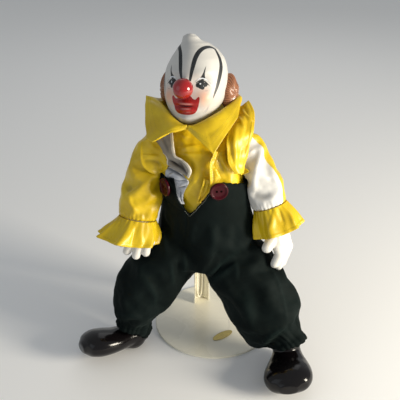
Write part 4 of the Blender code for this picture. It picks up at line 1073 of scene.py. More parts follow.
def ripples(places, waves):
    """A sum of slanting waves over space. Each has a direction in radians per millimetre, a phase and a
    height."""
    lift = np.zeros(len(places))
    for way, phase, height in waves:
        swing = 0.8 * np.sin(places @ np.array(way[::-1]) * 2.1 + phase * 3)
        lift += height * np.sin(places @ np.array(way) + phase + swing)
    return lift


def seeded(piece):
    """Starts faint creases for the cloth to settle along."""
    return raised(piece, ripples(places_of(piece)[0], FAINT_CREASES))


def raised(piece, lift):
    places, normals = places_of(piece)
    put_places(piece, places + normals * lift[:, None])
    return piece


# Materials

class Finish:
    """A Principled material, with short ways to add nodes to it."""

    def __init__(self, name, colour, roughness, **plain):
        self.made = bpy.data.materials.new(name)
        self.made.use_nodes = True
        self.tree = self.made.node_tree
        self.shader = self.tree.nodes["Principled BSDF"]
        self.shader.inputs["Base Color"].default_value = (*colour, 1.0)
        self.shader.inputs["Roughness"].default_value = roughness
        for key, value in plain.items():
            self.shader.inputs[key.replace("_", " ")].default_value = value
        self.place = self.node("ShaderNodeTexCoord").outputs["Object"]
        self.bumped = None

    def node(self, kind, **values):
        made = self.tree.nodes.new(kind)
        for key, value in values.items():
            if key in made.bl_rna.properties:
                setattr(made, key, value)
            else:
                made.inputs[key.replace("_", " ")].default_value = value
        return made

    def link(self, start, end):
        self.tree.links.new(start, end)

    def noise(self, scale, detail=3.0, stretch=None):
        """Cloudy noise. The scale is in features for each metre."""
        made = self.node("ShaderNodeTexNoise", Scale=scale, Detail=detail)
        place = self.place
        if stretch:
            turn = self.node("ShaderNodeMapping")
            turn.inputs["Scale"].default_value = stretch
            self.link(place, turn.inputs["Vector"])
            place = turn.outputs["Vector"]
        self.link(place, made.inputs["Vector"])
        return made.outputs["Fac"]

    def number(self, name):
        return self.node("ShaderNodeAttribute", attribute_name=name).outputs["Fac"]

    def ramp(self, fac, start, end, low=0.0, high=1.0):
        made = self.node("ShaderNodeMapRange")
        made.inputs["From Min"].default_value = start
        made.inputs["From Max"].default_value = end
        made.inputs["To Min"].default_value = low
        made.inputs["To Max"].default_value = high
        self.link(fac, made.inputs["Value"])
        return made.outputs["Result"]

    def mix(self, fac, low, high):
        """Mixes two colours. Each is a colour or another node's output."""
        made = self.node("ShaderNodeMix", data_type="RGBA")
        self.link(fac, made.inputs[0])
        for socket, value in ((made.inputs[6], low), (made.inputs[7], high)):
            if isinstance(value, (tuple, list)):
                socket.default_value = (*value, 1.0)
            else:
                self.link(value, socket)
        return made.outputs[2]

    def between(self, fac, start, end, low, high, most=1.0):
        """Goes from one colour to another as a number goes from start to end."""
        return self.mix(self.ramp(fac, start, end, 0.0, most), low, high)

    def painted(self, mark_name, soft, base, colour):
        """Lays a colour where a mark is above 0, with an edge as soft as soft says, in millimetres."""
        return self.between(self.number(mark_name), -soft, soft, base, colour)

    def tinted(self, mark_name, base, colour, most=1.0):
        """Goes from the base to a colour as a mark goes from 0 to 1."""
        return self.between(self.number(mark_name), 0.0, 1.0, base, colour, most)

    def bump(self, height, strength, distance):
        made = self.node("ShaderNodeBump", Strength=strength, Distance=distance * MM)
        self.link(height, made.inputs["Height"])
        if self.bumped:
            self.link(self.bumped, made.inputs["Normal"])
        self.bumped = made.outputs["Normal"]
        self.link(self.bumped, self.shader.inputs["Normal"])

    def colour(self, source):
        self.link(source, self.shader.inputs["Base Color"])

    def roughness(self, source):
        self.link(source, self.shader.inputs["Roughness"])


def shade(colour, share):
    return tuple(min(c * share, 1.0) for c in colour)


def satin(name, colour, deep, other=None):
    """Shiny woven satin: fine threads, soft slubs, a little change of colour, and painted shade in its creases.
    Beyond its seam it takes the other colour, where one is given."""
    finish = Finish(name, colour, 0.36, Sheen_Weight=0.06, Sheen_Roughness=0.3, Specular_IOR_Level=0.45)
    cloud = finish.noise(38.0, 4.0)
    base = finish.between(cloud, 0.35, 0.70, deep, colour)
    if other:
        beyond = finish.between(cloud, 0.35, 0.70, shade(other, 0.80), other)
        base = finish.painted("seam", 0.15, base, beyond)
    # Painted shade: the colour darkens where a crease is marked
    finish.colour(finish.tinted("crease", base, shade(deep, 0.16), 0.85))
    finish.roughness(finish.ramp(finish.noise(260.0, 2.0), 0.3, 0.7, 0.30, 0.42))
    finish.bump(finish.noise(2600.0, 2.0, (1.0, 1.0, 0.22)), 0.22, 0.06)
    finish.bump(finish.noise(420.0, 3.0, (1.0, 1.0, 0.5)), 0.25, 0.10)
    finish.bump(finish.noise(34.0, 2.0, (1.0, 1.0, 0.5)), 0.35, 1.4)
    return finish.made


def velvet(name, colour):
    """Cut pile: nearly black, greener where the nap is brushed up, with a painted highlight on the fold ridges
    and fine short fibres.
    """
    finish = Finish(name, colour, 0.85, Sheen_Weight=0.05, Sheen_Roughness=0.35, Specular_IOR_Level=0.12)
    finish.shader.inputs["Sheen Tint"].default_value = (0.22, 0.42, 0.36, 1.0)
    nap = finish.noise(24.0, 5.0)
    brushed = finish.between(nap, 0.42, 0.66, colour, shade(colour, 2.3))
    # Painted highlight: the colour lightens on the fold ridges
    brushed = finish.tinted("ridge", brushed, shade(colour, 3.2))
    finish.colour(finish.between(finish.noise(900.0, 2.0), 0.35, 0.75, brushed, shade(colour, 1.7)))
    finish.roughness(finish.ramp(nap, 0.3, 0.7, 0.95, 0.72))
    finish.bump(finish.noise(1700.0, 2.0), 0.35, 0.12)
    finish.bump(finish.noise(160.0, 3.0), 0.25, 0.25)
    return finish.made


def glazed(name, colour, roughness, coat, gleam=0.5):
    """Glazed china, before its painting: faint clouds in the glaze and a soft orange-peel surface."""
    finish = Finish(name, colour, roughness, Coat_Weight=coat, Coat_Roughness=0.12, Specular_IOR_Level=gleam)
    finish.colour(finish.between(finish.noise(45.0, 4.0), 0.35, 0.75, shade(colour, 0.93), colour))
    finish.roughness(finish.ramp(finish.noise(300.0, 2.0), 0.3, 0.7, roughness * 0.9, roughness * 1.15))
    finish.bump(finish.noise(150.0, 2.0), 0.10, 0.08)
    return finish


def china(name, *looks):
    return glazed(name, *looks).made


def painted_hair(name, colour):
    """Painted china curls, darker in their combed grooves."""
    finish = glazed(name, colour, 0.36, 0.25)
    finish.colour(finish.tinted("groove", shade(colour, 1.35), shade(colour, 0.55)))
    return finish.made


def face_paint(name, porcelain):
    """Bisque with the clown's painted face, each mark with a clean brushed edge. Its glaze is painted darker than
    the hands' as shade, with painted highlights on the lips and eyes and painted shade on the lids and smile
    creases.
    """
    ink, rouge, blush = tuple(porcelain.ink), tuple(porcelain.rouge), tuple(porcelain.blush)
    # Painted shade: the head's glaze is darker and cooler than the hands' and the neck's
    glaze = tuple(c * share for c, share in zip(porcelain.glaze, (0.76, 0.77, 0.79)))
    finish = Finish(name, glaze, 0.47, Coat_Weight=0.08, Coat_Roughness=0.25, Specular_IOR_Level=0.4)
    base = finish.between(finish.noise(50.0, 4.0), 0.35, 0.75, shade(glaze, 0.94), glaze)
    base = finish.tinted("shadow", base, (0.30, 0.31, 0.34))
    base = finish.tinted("blush", base, blush, 0.85)
    strokes = finish.noise(700.0, 2.0, (1.0, 1.0, 0.3))
    red = finish.between(strokes, 0.3, 0.7, shade(rouge, 0.72), shade(rouge, 1.15))
    # Painted highlight on the lips
    red = finish.tinted("lip_gleam", red, (0.74, 0.40, 0.36), 0.75)
    base = finish.painted("rouge", 0.12, base, red)
    base = finish.painted("mouth_line", 0.25, base, (0.06, 0.006, 0.008))
    black = finish.between(strokes, 0.3, 0.7, shade(ink, 0.7), shade(ink, 2.2))
    base = finish.painted("ink", 0.12, base, black)
    # Painted highlights on the eyes and the upper lids
    finish.colour(finish.painted("glint", 0.1, base, (0.70, 0.74, 0.80)))
    finish.roughness(finish.ramp(finish.number("rouge"), -0.12, 0.12, 0.47, 0.20))
    finish.bump(finish.noise(260.0, 2.0), 0.08, 0.06)
    return finish.made


def enamel(name, stand):
    """Baked enamel on sheet metal, yellowed in patches, with grey scuffs."""
    colour = tuple(stand.enamel)
    finish = Finish(name, colour, 0.26, Coat_Weight=0.35, Coat_Roughness=0.12)
    cloud = finish.noise(16.0, 4.0)
    base = finish.between(cloud, 0.35, 0.70, colour, shade(colour, 0.86))
    scuff = finish.noise(95.0, 6.0, (1.0, 0.16, 1.0))
    finish.colour(finish.between(scuff, 0.70, 0.76, base, (0.26, 0.25, 0.22), 0.55 * stand.wear))
    finish.roughness(finish.ramp(cloud, 0.3, 0.7, 0.22, 0.34))
    finish.bump(finish.noise(110.0, 2.0), 0.12, 0.10)
    return finish.made


def foil(name, colour):
    """Metal foil, dulled in patches."""
    finish = Finish(name, colour, 0.34, Metallic=0.85)
    cloud = finish.noise(240.0, 3.0)
    finish.colour(finish.between(cloud, 0.35, 0.70, shade(colour, 0.68), colour))
    finish.roughness(finish.ramp(cloud, 0.3, 0.7, 0.28, 0.50))
    finish.bump(finish.noise(520.0, 3.0), 0.30, 0.08)
    return finish.made


def finish_named(context, name):
    """A material of the doll, made when it is first asked for."""
    if name in bpy.data.materials:
        return bpy.data.materials[name]
    scene = context.scene
    cloth, porcelain, stand = scene.clown_cloth, scene.clown_porcelain, scene.clown_stand
    yellow, white, gold = tuple(cloth.yellow), tuple(cloth.white), tuple(stand.gold)
    makers = {
        "yellow_cloth": (satin, yellow, (0.60, 0.40, 0.006)),
        "two_colour_cloth": (satin, white, shade(white, 0.86), yellow),
        # Painted shade: the ruffles' white satin is darker than the sleeve's, the upper ruffle with lighter cream
        # rolled hems, the under ruffle a cool grey-blue
        "lining_cloth": (satin, (0.36, 0.325, 0.275), (0.26, 0.23, 0.19), (0.80, 0.74, 0.60)),
        "under_cloth": (satin, (0.62, 0.64, 0.68), (0.48, 0.50, 0.54)),
        # Painted shade: the yellow thread is darker than the satin, for the shade in the stitches' dimples
        "yellow_thread": (satin, shade(yellow, 0.62), shade(yellow, 0.45)),
        "pale_thread": (satin, (0.50, 0.52, 0.44), (0.36, 0.38, 0.32)),
        "dark_velvet": (velvet, tuple(cloth.velvet)),
        "white_china": (china, tuple(porcelain.glaze), 0.22, 0.5),
        "red_glaze": (china, tuple(porcelain.nose), 0.16, 0.6),
        "black_china": (china, tuple(porcelain.shoe), 0.15, 0.0, 0.34),
        "hair_paint": (painted_hair, tuple(porcelain.hair)),
        "painted_porcelain": (face_paint, porcelain),
        "button_plastic": (china, tuple(cloth.button), 0.17, 0.0, 0.22),
        "cream_coat": (enamel, stand),
        "label_foil": (foil, gold),
        "dark_foil": (foil, shade(gold, 0.45)),
    }
    make, *looks = makers[name]
    return make(name, *looks)


def placed(context, piece, finish, slot, *nodes):
    """Gives a piece its material and its place in the frame."""
    piece.data.materials.clear()
    piece.data.materials.append(finish_named(context, finish))
    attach(piece, "root")
    if nodes:
        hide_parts(*nodes)
    return piece


# Sewing

def point_along(line, reach, place):
    return np.array([np.interp(place, reach, line[:, a]) for a in range(3)])


def stitched(context, name, lines, finish, slot, length=None, spacing=1.45):
    """Rows of small stitches. Each line is points and normals, and its stitches are half sunk in the cloth."""
    cloth = context.scene.clown_cloth
    length = length or cloth.stitch / MM
    radius = cloth.thread / MM / 2
    points, faces = [], []
    for line, normals in lines:
        line, normals = np.asarray(line, dtype=float), np.asarray(normals, dtype=float)
        steps = np.linalg.norm(np.diff(line, axis=0), axis=1)
        reach = np.concatenate([[0.0], np.cumsum(steps)])
        pitch = length * spacing
        for k in range(int(reach[-1] / pitch)):
            spots = [point_along(line, reach, (k + share) * pitch) for share in (0.15, 0.85)]
            normal = unit(point_along(normals, reach, (k + 0.5) * pitch))
            middle, ahead = (spots[0] + spots[1]) / 2, unit(spots[1] - spots[0])
            side = unit(np.cross(ahead, normal))
            start = len(points)
            for t, size in ((-0.5, 0.35), (-0.3, 0.9), (0.0, 1.1), (0.3, 0.9), (0.5, 0.35)):
                for i in range(6):
                    a = math.tau * i / 6
                    ring = side * math.cos(a) + normal * math.sin(a)
                    points.append(middle + ahead * t * length + ring * radius * size)
            faces += grid_faces(5, 6, True, start)
            faces.append(tuple(start + i for i in range(5, -1, -1)))
            faces.append(tuple(start + 24 + i for i in range(6)))
    return placed(context, object_of(name, points, faces), finish, slot)


# Pieces

def make_floor(context, looks):
    mesh = bpy.data.meshes.new("studio_floor")
    corners = [(x * FLOOR_HALF, y * FLOOR_HALF, 0) for x, y in ((-1, -1), (1, -1), (1, 1), (-1, 1))]
    mesh.from_pydata(corners, [], [(0, 1, 2, 3)])
    floor = bpy.data.objects.new("studio_floor", mesh)
    finish = Finish("pale_floor", tuple(looks.floor), 0.75)
    finish.bump(finish.noise(30.0, 2.0), 0.05, 0.2)
    mesh.materials.append(finish.made)
    context.scene.collection.objects.link(floor)


def make_lights(context, looks):
    """The lamps, and the soft light of the room."""
    for name, power, colour, place, size in LAMPS:
        data = bpy.data.lights.new(name, "AREA")
        data.energy, data.color, data.size = getattr(looks, power), colour, size
        lamp = bpy.data.objects.new(name, data)
        lamp.location = place
        lamp.rotation_euler = (LAMPS_AIM - Vector(place)).to_track_quat("-Z", "Y").to_euler()
        context.scene.collection.objects.link(lamp)
    world = bpy.data.worlds.new("room")
    world.use_nodes = True
    room = world.node_tree.nodes["Background"].inputs
    room["Color"].default_value = ROOM_COLOUR
    room["Strength"].default_value = looks.sky
    context.scene.world = world
    context.scene.view_settings.view_transform = "Standard"


def make_camera(context):
    """The photograph's camera."""
    camera = bpy.data.objects.new("camera", bpy.data.cameras.new("camera"))
    camera.data.sensor_width = SENSOR_WIDE
    camera.data.lens = SENSOR_WIDE * PHOTO_FOCUS / PHOTO_SIDE
    camera.location = CAMERA_PLACE
    camera.rotation_euler = (math.pi / 2 - CAMERA_DIP, 0.0, 0.0)
    context.scene.collection.objects.link(camera)
    context.scene.camera = camera


def make_base(context):
    """The stand's round foot, with a rolled edge."""
    inner = BASE_RADIUS - BASE_EDGE_ROUND * 2
    profile = [(inner, 0.0)]
    for i in range(9):
        a = math.pi * (i / 8 - 0.5)
        radius = BASE_RADIUS - BASE_EDGE_ROUND * (1 - math.cos(a))
        profile.append((radius, BASE_THICK / 2 + BASE_THICK / 2 * math.sin(a)))
    profile.append((inner, BASE_THICK))
    profile += [(BASE_RADIUS * share, BASE_THICK) for share in BASE_RINGS]
    rings = [
        [(*turn_z(radius, 0.0, 360.0 * i / BASE_SIDES), z) for i in range(BASE_SIDES)]
        for radius, z in profile
    ]
    placed(context, tube_of_rings("base_disc", rings), "cream_coat", "cream_enamel", "stand_base")


def make_upright(context):
    """The channel, its rivet and the clamp's wire, rounded from the frame's own."""
    post = copy_of("stand_post", "channel_post")
    bevel = post.modifiers.new("rolled edges", "BEVEL")
    bevel.width = POST_EDGE * MM
    bevel.segments = 4
    bevel.limit_method = "ANGLE"
    applied(post)
    post.data.set_sharp_from_angle(angle=math.radians(35))
    rivet = finer(copy_of("stand_rivet", "foot_rivet"), 2)
    wire = melted(copy_of("stand_wire", "clamp_wire"), *WIRE_SKIN)
    for piece, node in ((post, "stand_post"), (rivet, "stand_rivet"), (wire, "stand_wire")):
        placed(context, piece, "cream_coat", "cream_enamel", node)


def label_point(along, across, high):
    """A point of the label, at a share of its thickness above the stand's foot."""
    x, y = turn_z(along, across, LABEL_TURN)
    return LABEL_PLACE[0] + x, LABEL_PLACE[1] + y, BASE_THICK + LABEL_GAP + LABEL_THICK * high


def make_label(context):
    """An oval foil label with a raised rim and three rows of short strokes that are no letters."""
    turns = [math.tau * i / LABEL_SIDES for i in range(LABEL_SIDES)]
    half_long, half_wide = LABEL_LONG / 2, LABEL_WIDE / 2
    rings = [
        [label_point(half_long * share * math.cos(a), half_wide * share * math.sin(a), high) for a in turns]
        for share, high in LABEL_PROFILE
    ]
    placed(context, tube_of_rings("oval_label", rings), "label_foil", "gold_foil", "gold_label")
    lines = []
    for across, reach in LABEL_STROKES:
        line = [label_point(half_long * reach * (i / 20 - 1), across, LABEL_FIELD) for i in range(41)]
        lines.append((line, [(0.0, 0.0, 1.0)] * len(line)))
    stitched(context, "label_relief", lines, "dark_foil", "gold_foil", 1.1, 1.6)


def head_matrix():
    """The turn of the head: lifted, turned and leaned."""
    lift = Matrix.Rotation(math.radians(-HEAD_LIFT), 3, "X")
    turn = Matrix.Rotation(math.radians(HEAD_TURN), 3, "Z")
    lean = Matrix.Rotation(math.radians(HEAD_LEAN), 3, "Y")
    return np.array(lean @ turn @ lift)


def to_doll(points):
    """From the head's own frame, with the eyes' height at 0, to the doll's."""
    return np.asarray(points, dtype=float) @ head_matrix().T + np.array(HEAD_MIDDLE)


def skull_points(angles, z):
    """Points of the skull at a height in its own frame, with the face's forms on its front."""
    _, wide, front, back, aside = row_at(SKULL, z)
    middle, deep = (front + back) / 2, (back - front) / 2
    x, y = wide * np.sin(angles), middle - deep * np.cos(angles)
    facing_front = np.maximum(0.0, np.cos(angles)) ** 0.5
    out = np.zeros_like(angles)
    for place_x, place_z, height, half_wide, half_high in FACE:
        tall = height * math.exp(-((z - place_z) / half_high) ** 2)
        for side in ((-1, 1) if place_x else (1,)):
            out += tall * np.exp(-((x - side * place_x) / half_wide) ** 2)
    out *= facing_front
    return np.stack([aside + x * (1.0 + 0.012 * out), y - out, x * 0 + z], axis=-1)


def on_face(marks):
    """Painted marks, as points on the face's surface and half widths along a smooth line."""
    count = len(marks) * 5
    rows = [smooth_row(marks, i / (count - 1)) for i in range(count)]
    places = []
    for x, z, _ in rows:
        _, wide, _, _, aside = row_at(SKULL, z)
        angle = math.asin(max(-0.999, min(0.999, (x - aside) / wide)))
        places.append(skull_points(np.array([angle]), z)[0])
    return evened(np.array([places]), STROKE_ROUNDS)[0], np.array([row[2] for row in rows])


def mirrored(marks):
    return [(-x, *rest) for x, *rest in marks]


def both(marks):
    return [marks, mirrored(marks)]


def beside_marks(points, marks):
    """For each point, its distance to a line of marks and the half width of the line beside it."""
    line, widths = on_face(marks)
    distance, along, _ = line_distance(points, line)
    return distance, np.interp(along, np.linspace(0, 1, len(widths)), widths)


def stroke_depth(points, marks):
    """How far inside a tapered brush stroke each point lies. It is negative outside."""
    distance, width = beside_marks(points, marks)
    return width - distance


def spot_depth(points, x, z, radius):
    """How far inside a round spot each point lies. It is negative outside."""
    line, _ = on_face([(x, z, 0.0), (x + 0.01, z, 0.0)])
    return radius - np.linalg.norm(points - line[0], axis=-1)


def deepest(points, strokes, spots=()):
    """How far inside any of several strokes and spots each point lies."""
    depths = [stroke_depth(points, marks) for marks in strokes] + [spot_depth(points, *spot) for spot in spots]
    return np.maximum(np.max(depths, axis=0), OUTSIDE)


def outline_depth(points, outline):
    """How far inside an outline in x and z each point lies. It is negative outside and behind the face."""
    flat = points[:, [0, 2]]
    loop = outline + [outline[0]]
    distance = line_distance(flat, loop)[0]
    inside = np.zeros(len(flat), dtype=bool)
    for (ax, az), (bx, bz) in zip(loop[:-1], loop[1:]):
        spans = (az > flat[:, 1]) != (bz > flat[:, 1])
        cross = ax + (flat[:, 1] - az) * (bx - ax) / ((bz - az) or 1e-9)
        inside ^= spans & (flat[:, 0] < cross)
    depth = np.where(inside, distance, -distance)
    return np.where(points[:, 1] < 0, depth, OUTSIDE)


def head_points():
    """The head in its own frame: rings of points from the chin up, closer at the face, and then two tips."""
    rows, sides = HEAD_GRID
    low, high = SKULL[0][0], SKULL[-1][0]
    turns = np.arange(sides) * math.tau / sides
    angles = turns - FACE_CROWD * np.sin(turns)
    rings = []
    for r in range(rows):
        share = r / (rows - 1)
        height = low + (high - low) * (share - CROWN_CROWD * math.sin(math.tau * share))
        rings.append(skull_points(angles, height))
    rings = np.array(rings)
    tips = (rings[0].mean(axis=0) - (0, 0, 0.6), rings[-1].mean(axis=0) + (0, 0, 0.5))
    return np.concatenate([rings.reshape(-1, 3), tips])


def smile_creases(own):
    crease = np.zeros(len(own))
    for marks in both(SMILE_CREASE):
        distance, width = beside_marks(own, marks)
        crease += width * np.exp(-(distance / 0.9) ** 2)
    return crease


def lid_folds(own):
    """The raised folds of the eyelids, just over the upper lashes."""
    lids = np.zeros(len(own))
    for marks in both(LASHES[0]):
        distance, _ = beside_marks(own, [(x, z + 1.1, w) for x, z, w in marks])
        lids += np.exp(-(distance / 0.8) ** 2)
    return lids


# Painted highlights on the lips, from 0 to 1
def lip_gleam(own):
    gleam = np.zeros(len(own))
    for strength, x, wide, square, z, high in LIP_HIGHLIGHTS:
        gleam += strength * np.exp(-((own[:, 0] - x) / wide) ** square - ((own[:, 2] - z) / high) ** 2)
    return np.clip(gleam, 0, 1)


def cheek_blush(own):
    x, z, reach = CHEEK
    blush = np.zeros(len(own))
    for side in (-1, 1):
        middle = on_face([(side * x, z, 0)] * 2)[0][0]
        blush += np.exp(-(np.linalg.norm(own - middle, axis=-1) / reach) ** 2)
    return np.clip(blush, 0, 1)


def face_marks(own, crease):
    """The numbers that the face's paint is mixed by, for each point."""
    brushed = [side for marks in (BROW_ARCH, FLAME, *LASHES) for side in both(marks)]
    highlight_spots = [(x + shift, z, radius) for x, z, radius in EYE_HIGHLIGHTS for shift in (0.0, -2 * EYE_ASIDE)]
    half_mouth = [tuple(smooth_row(MOUTH_SHAPE, i / 48)) for i in range(49)]
    mouth = half_mouth + mirrored(half_mouth[-2:0:-1])
    lid = np.clip(0.5 + 2.2 * deepest(own, both(EYELID)), 0, 1)
    return {
        "ink": deepest(own, brushed, EYE_SPOTS + mirrored(EYE_SPOTS)),
        "glint": deepest(own, both(LID_HIGHLIGHT), highlight_spots),
        "rouge": outline_depth(own, mouth),
        "mouth_line": stroke_depth(own, MOUTH_LINE),
        "lip_gleam": lip_gleam(own),
        "blush": cheek_blush(own),
        # Painted shade on the lids and in the smile creases
        "shadow": np.clip(0.35 * crease + 0.75 * lid, 0, 1),
    }


def make_head(context):
    """The head with its painted face, the neck, the ball nose and the moulded hair."""
    own = head_points()
    crease = smile_creases(own)
    own[:, 1] += 0.55 * crease - 0.35 * lid_folds(own)
    head = tube_of_rings("painted_head", to_doll(own[:-2]).reshape(*HEAD_GRID, 3), to_doll(own[-2:]))
    for name, values in face_marks(own, crease).items():
        mark(head, name, values)
    placed(context, head, "painted_porcelain", "porcelain", "head")
    neck = rod(to_doll([NECK_ROOT])[0], (*COLLAR_MIDDLE, COLLAR_NECK[1]), NECK_RADIUS)
    neck.name = "porcelain_neck"
    placed(context, neck, "white_china", "porcelain", "head")
    make_nose(context)
    for side, name in ((1, "left_hair"), (-1, "right_hair")):
        make_hair(context, side, name)


def ball_rings(middle, sizes, rows, sides, shape=None):
    """Rings and poles of a ball, moved out by a share that shape gives, and the directions of both."""
    polar = np.pi * np.arange(1, rows) / rows
    angle = math.tau * np.arange(sides) / sides
    ways = np.stack([
        np.sin(polar)[:, None] * np.cos(angle)[None],
        np.sin(polar)[:, None] * np.sin(angle)[None],
        np.cos(polar)[:, None] * np.ones(sides)[None],
    ], axis=-1)
    poles = np.array([(0, 0, 1.0), (0, 0, -1.0)])
    out = (shape(ways), shape(poles)) if shape else (np.zeros(ways.shape[:-1]), np.zeros(2))
    rings = np.array(middle) + ways * np.array(sizes) * (1 + out[0])[..., None]
    return rings, np.array(middle) + poles * np.array(sizes) * (1 + out[1])[..., None], (ways, poles)


def make_nose(context):
    """The ball nose, set into the middle of the face."""
    front = skull_points(np.array([0.0]), NOSE_HEIGHT)[0][1]
    middle = (0.0, front - NOSE_RADIUS * NOSE_PROUD, NOSE_HEIGHT)
    rings, tips, _ = ball_rings(middle, (NOSE_RADIUS,) * 3, 48, 72)
    nose = tube_of_rings("ball_nose", to_doll(rings), to_doll(tips))
    placed(context, nose, "red_glaze", "porcelain", "head")


def swirl_of(ways):
    """The angle and the distance of a direction from the middle of a tuft's swirl."""
    return np.arctan2(ways[..., 2], ways[..., 1] + 0.35), np.hypot(ways[..., 2], ways[..., 1] + 0.35)


def combed(ways):
    """From -1 to 1 across each fine wavy groove."""
    swirl, reach = swirl_of(ways)
    return np.cos(swirl * 34 + reach * 16 + 1.5 * np.sin(reach * 9))


def curls(ways):
    """How far the broad locks and the fine grooves stand out, as a share of the tuft's size."""
    swirl, reach = swirl_of(ways)
    return 0.055 * np.cos(swirl * 5 + reach * 6) + 0.030 * combed(ways)


def make_hair(context, side, name):
    """A clump of moulded curls over an ear, combed in fine wavy grooves."""
    x, y, z = TUFT_MIDDLE
    rings, tips, (ways, poles) = ball_rings((side * x, y, z), TUFT_SIZE, *TUFT_GRID, curls)
    tuft = tube_of_rings(name, to_doll(rings), to_doll(tips))
    mark(tuft, "groove", 0.5 - 0.5 * combed(np.concatenate([ways.reshape(-1, 3), poles])))
    placed(context, tuft, "hair_paint", "porcelain", "head")


def make_hand(context, node, name, sleeve, plan):
    """A palm, four bent fingers and a thumb under one smooth skin."""
    middle, _, _, _, _, ahead = limb_frame(sleeve, 1.0)
    wrist, palm, across = (Vector(plan[key]) for key in ("wrist", "palm", "across"))
    across.normalize()
    parts = [rod(middle - ahead * WRIST_RADIUS * 0.2, wrist, WRIST_RADIUS)]
    for way in (-1, 0, 1):
        high, low = (spread * way * across for spread in PALM_SPREAD)
        parts.append(rod(wrist + high, palm + low, *PALM_RADIUS))
    for i, tip in enumerate(plan["tips"]):
        knuckle = palm + across * (i - 1.5) * FINGER_APART
        joint = knuckle.lerp(Vector(tip), 0.5) + Vector(plan["knuckle"])
        parts.append(rod(knuckle, joint, FINGER_RADIUS[0], FINGER_RADIUS[1]))
        parts.append(rod(joint, tip, FINGER_RADIUS[1], FINGER_RADIUS[2]))
    base, tip = (Vector(point) for point in plan["thumb"])
    root, joint, end = plan["thumb_radius"]
    parts.append(rod(palm.lerp(wrist, 0.4), base, root, joint))
    parts.append(rod(base, tip, joint, end))
    hand = melted(joined(name, parts), *HAND_SKIN)
    placed(context, hand, "white_china", "porcelain", node)


def make_shoe(context, node, name, stance):
    """A round-toed shoe with its ankle, set on the ground as it stands."""
    rows, sides = 60, 72
    rings = []
    for r in range(rows):
        share = r / (rows - 1)
        along = SHOE[-1][0] * (0.5 - 0.5 * math.cos(math.pi * share))
        _, wide, sole, top = row_at(SHOE, along)
        middle, half = (sole + top) / 2, (top - sole) / 2
        ring = []
        for i in range(sides):
            a = math.tau * i / sides
            up = math.sin(a)
            lift = math.copysign(abs(up) ** (0.72 if up < 0 else 1.0), up)
            ring.append((along - ANKLE_AT, wide * math.cos(a), middle + half * lift))
        rings.append(ring)
    ankle = rod((ANKLE_ROOT[0], 0, ANKLE_ROOT[1]), (-ANKLE_LEAN, 0, ANKLE_TOP), *ANKLE_RADIUS)
    shoe = melted(joined(name, [tube_of_rings("last", rings), ankle]), *SHOE_SKIN)
    roll = Matrix.Rotation(math.radians(stance["roll"]), 4, "X")
    turn = Matrix.Rotation(math.radians(stance["toe"]), 4, "Z")
    shoe.data.transform(turn @ roll)
    places, _ = places_of(shoe)
    places += np.array([*stance["heel"], -places[:, 2].min()])
    places[:, 2] = np.maximum(places[:, 2], SOLE_FLAT) - SOLE_FLAT
    put_places(shoe, places)
    placed(context, shoe, "black_china", "black_glaze", node)


def make_blouse(context):
    """The satin over the stuffed body."""
    depth = context.scene.clown_cloth.fold
    blouse = seeded(melted(copy_of("blouse", "satin_blouse"), *BLOUSE_SKIN))
    blouse = finer(crumpled(context, blouse, np.ones(len(blouse.data.vertices)), *BLOUSE_LOOSE))
    places, normals = places_of(blouse)
    folded = fold_lift(places, normals, BLOUSE_FOLDS, depth)
    raised(blouse, ripples(places, BLOUSE_WAVES) * depth + folded)
    # Painted shade in the creases of the blouse's folds
    mark(blouse, "crease", np.clip(-folded / CREASE_DEEP, 0.0, 0.6))
    placed(context, blouse, "yellow_cloth", "yellow_satin", "blouse")


def clamped_share(places):
    """From 0 to 1: how closely the stand's wire holds the velvet down, behind the waist."""
    return np.clip((places[:, 1] + 14.0) / 6.0, 0.0, 1.0) * np.clip((places[:, 2] - 95.0) / 15.0, 0.0, 1.0)


def leg_gathers(places, depth):
    """Gathers above each ankle, and the groove that holds them."""
    lift = np.zeros(len(places))
    for stations, x_side in ((RIGHT_LEG, -1), (LEFT_LEG, 1)):
        share, angle, _ = limb_place(places, stations)
        mine = (places[:, 2] < 62) & (np.sign(places[:, 0] + 8) == x_side)
        gather = np.clip((share - 0.60) / 0.25, 0.0, 1.0) * mine
        wander = 0.6 * np.sin(3 * angle + 1.3) + 0.4 * np.sin(5 * angle)
        lift += gather * 1.15 * (np.abs(np.sin(8.5 * angle + wander)) - 0.55) * depth
        lift -= mine * 1.1 * np.exp(-((share - 0.86) / 0.025) ** 2)
    return lift


def stitch_bib(context, overalls):
    """A row of stitches along the bib's edge, between its two points."""
    tree = BVHTree.FromObject(overalls, context.evaluated_depsgraph_get())
    line, normals = [], []
    for i in range(121):
        degrees = -BIB_POINT_AT + 2 * BIB_POINT_AT * i / 120
        if abs(degrees - BIB_V_AT) >= 0.8:
            near = trunk_point(degrees, bib_top(degrees) - 3.4, VELVET + 1.0)
            spot, normal, _, _ = tree.find_nearest(near * MM)
            line.append(spot / MM)
            normals.append(normal)
    stitched(context, "bib_stitching", [(line, normals)], "pale_thread", "green_velvet", 1.1, 1.7)


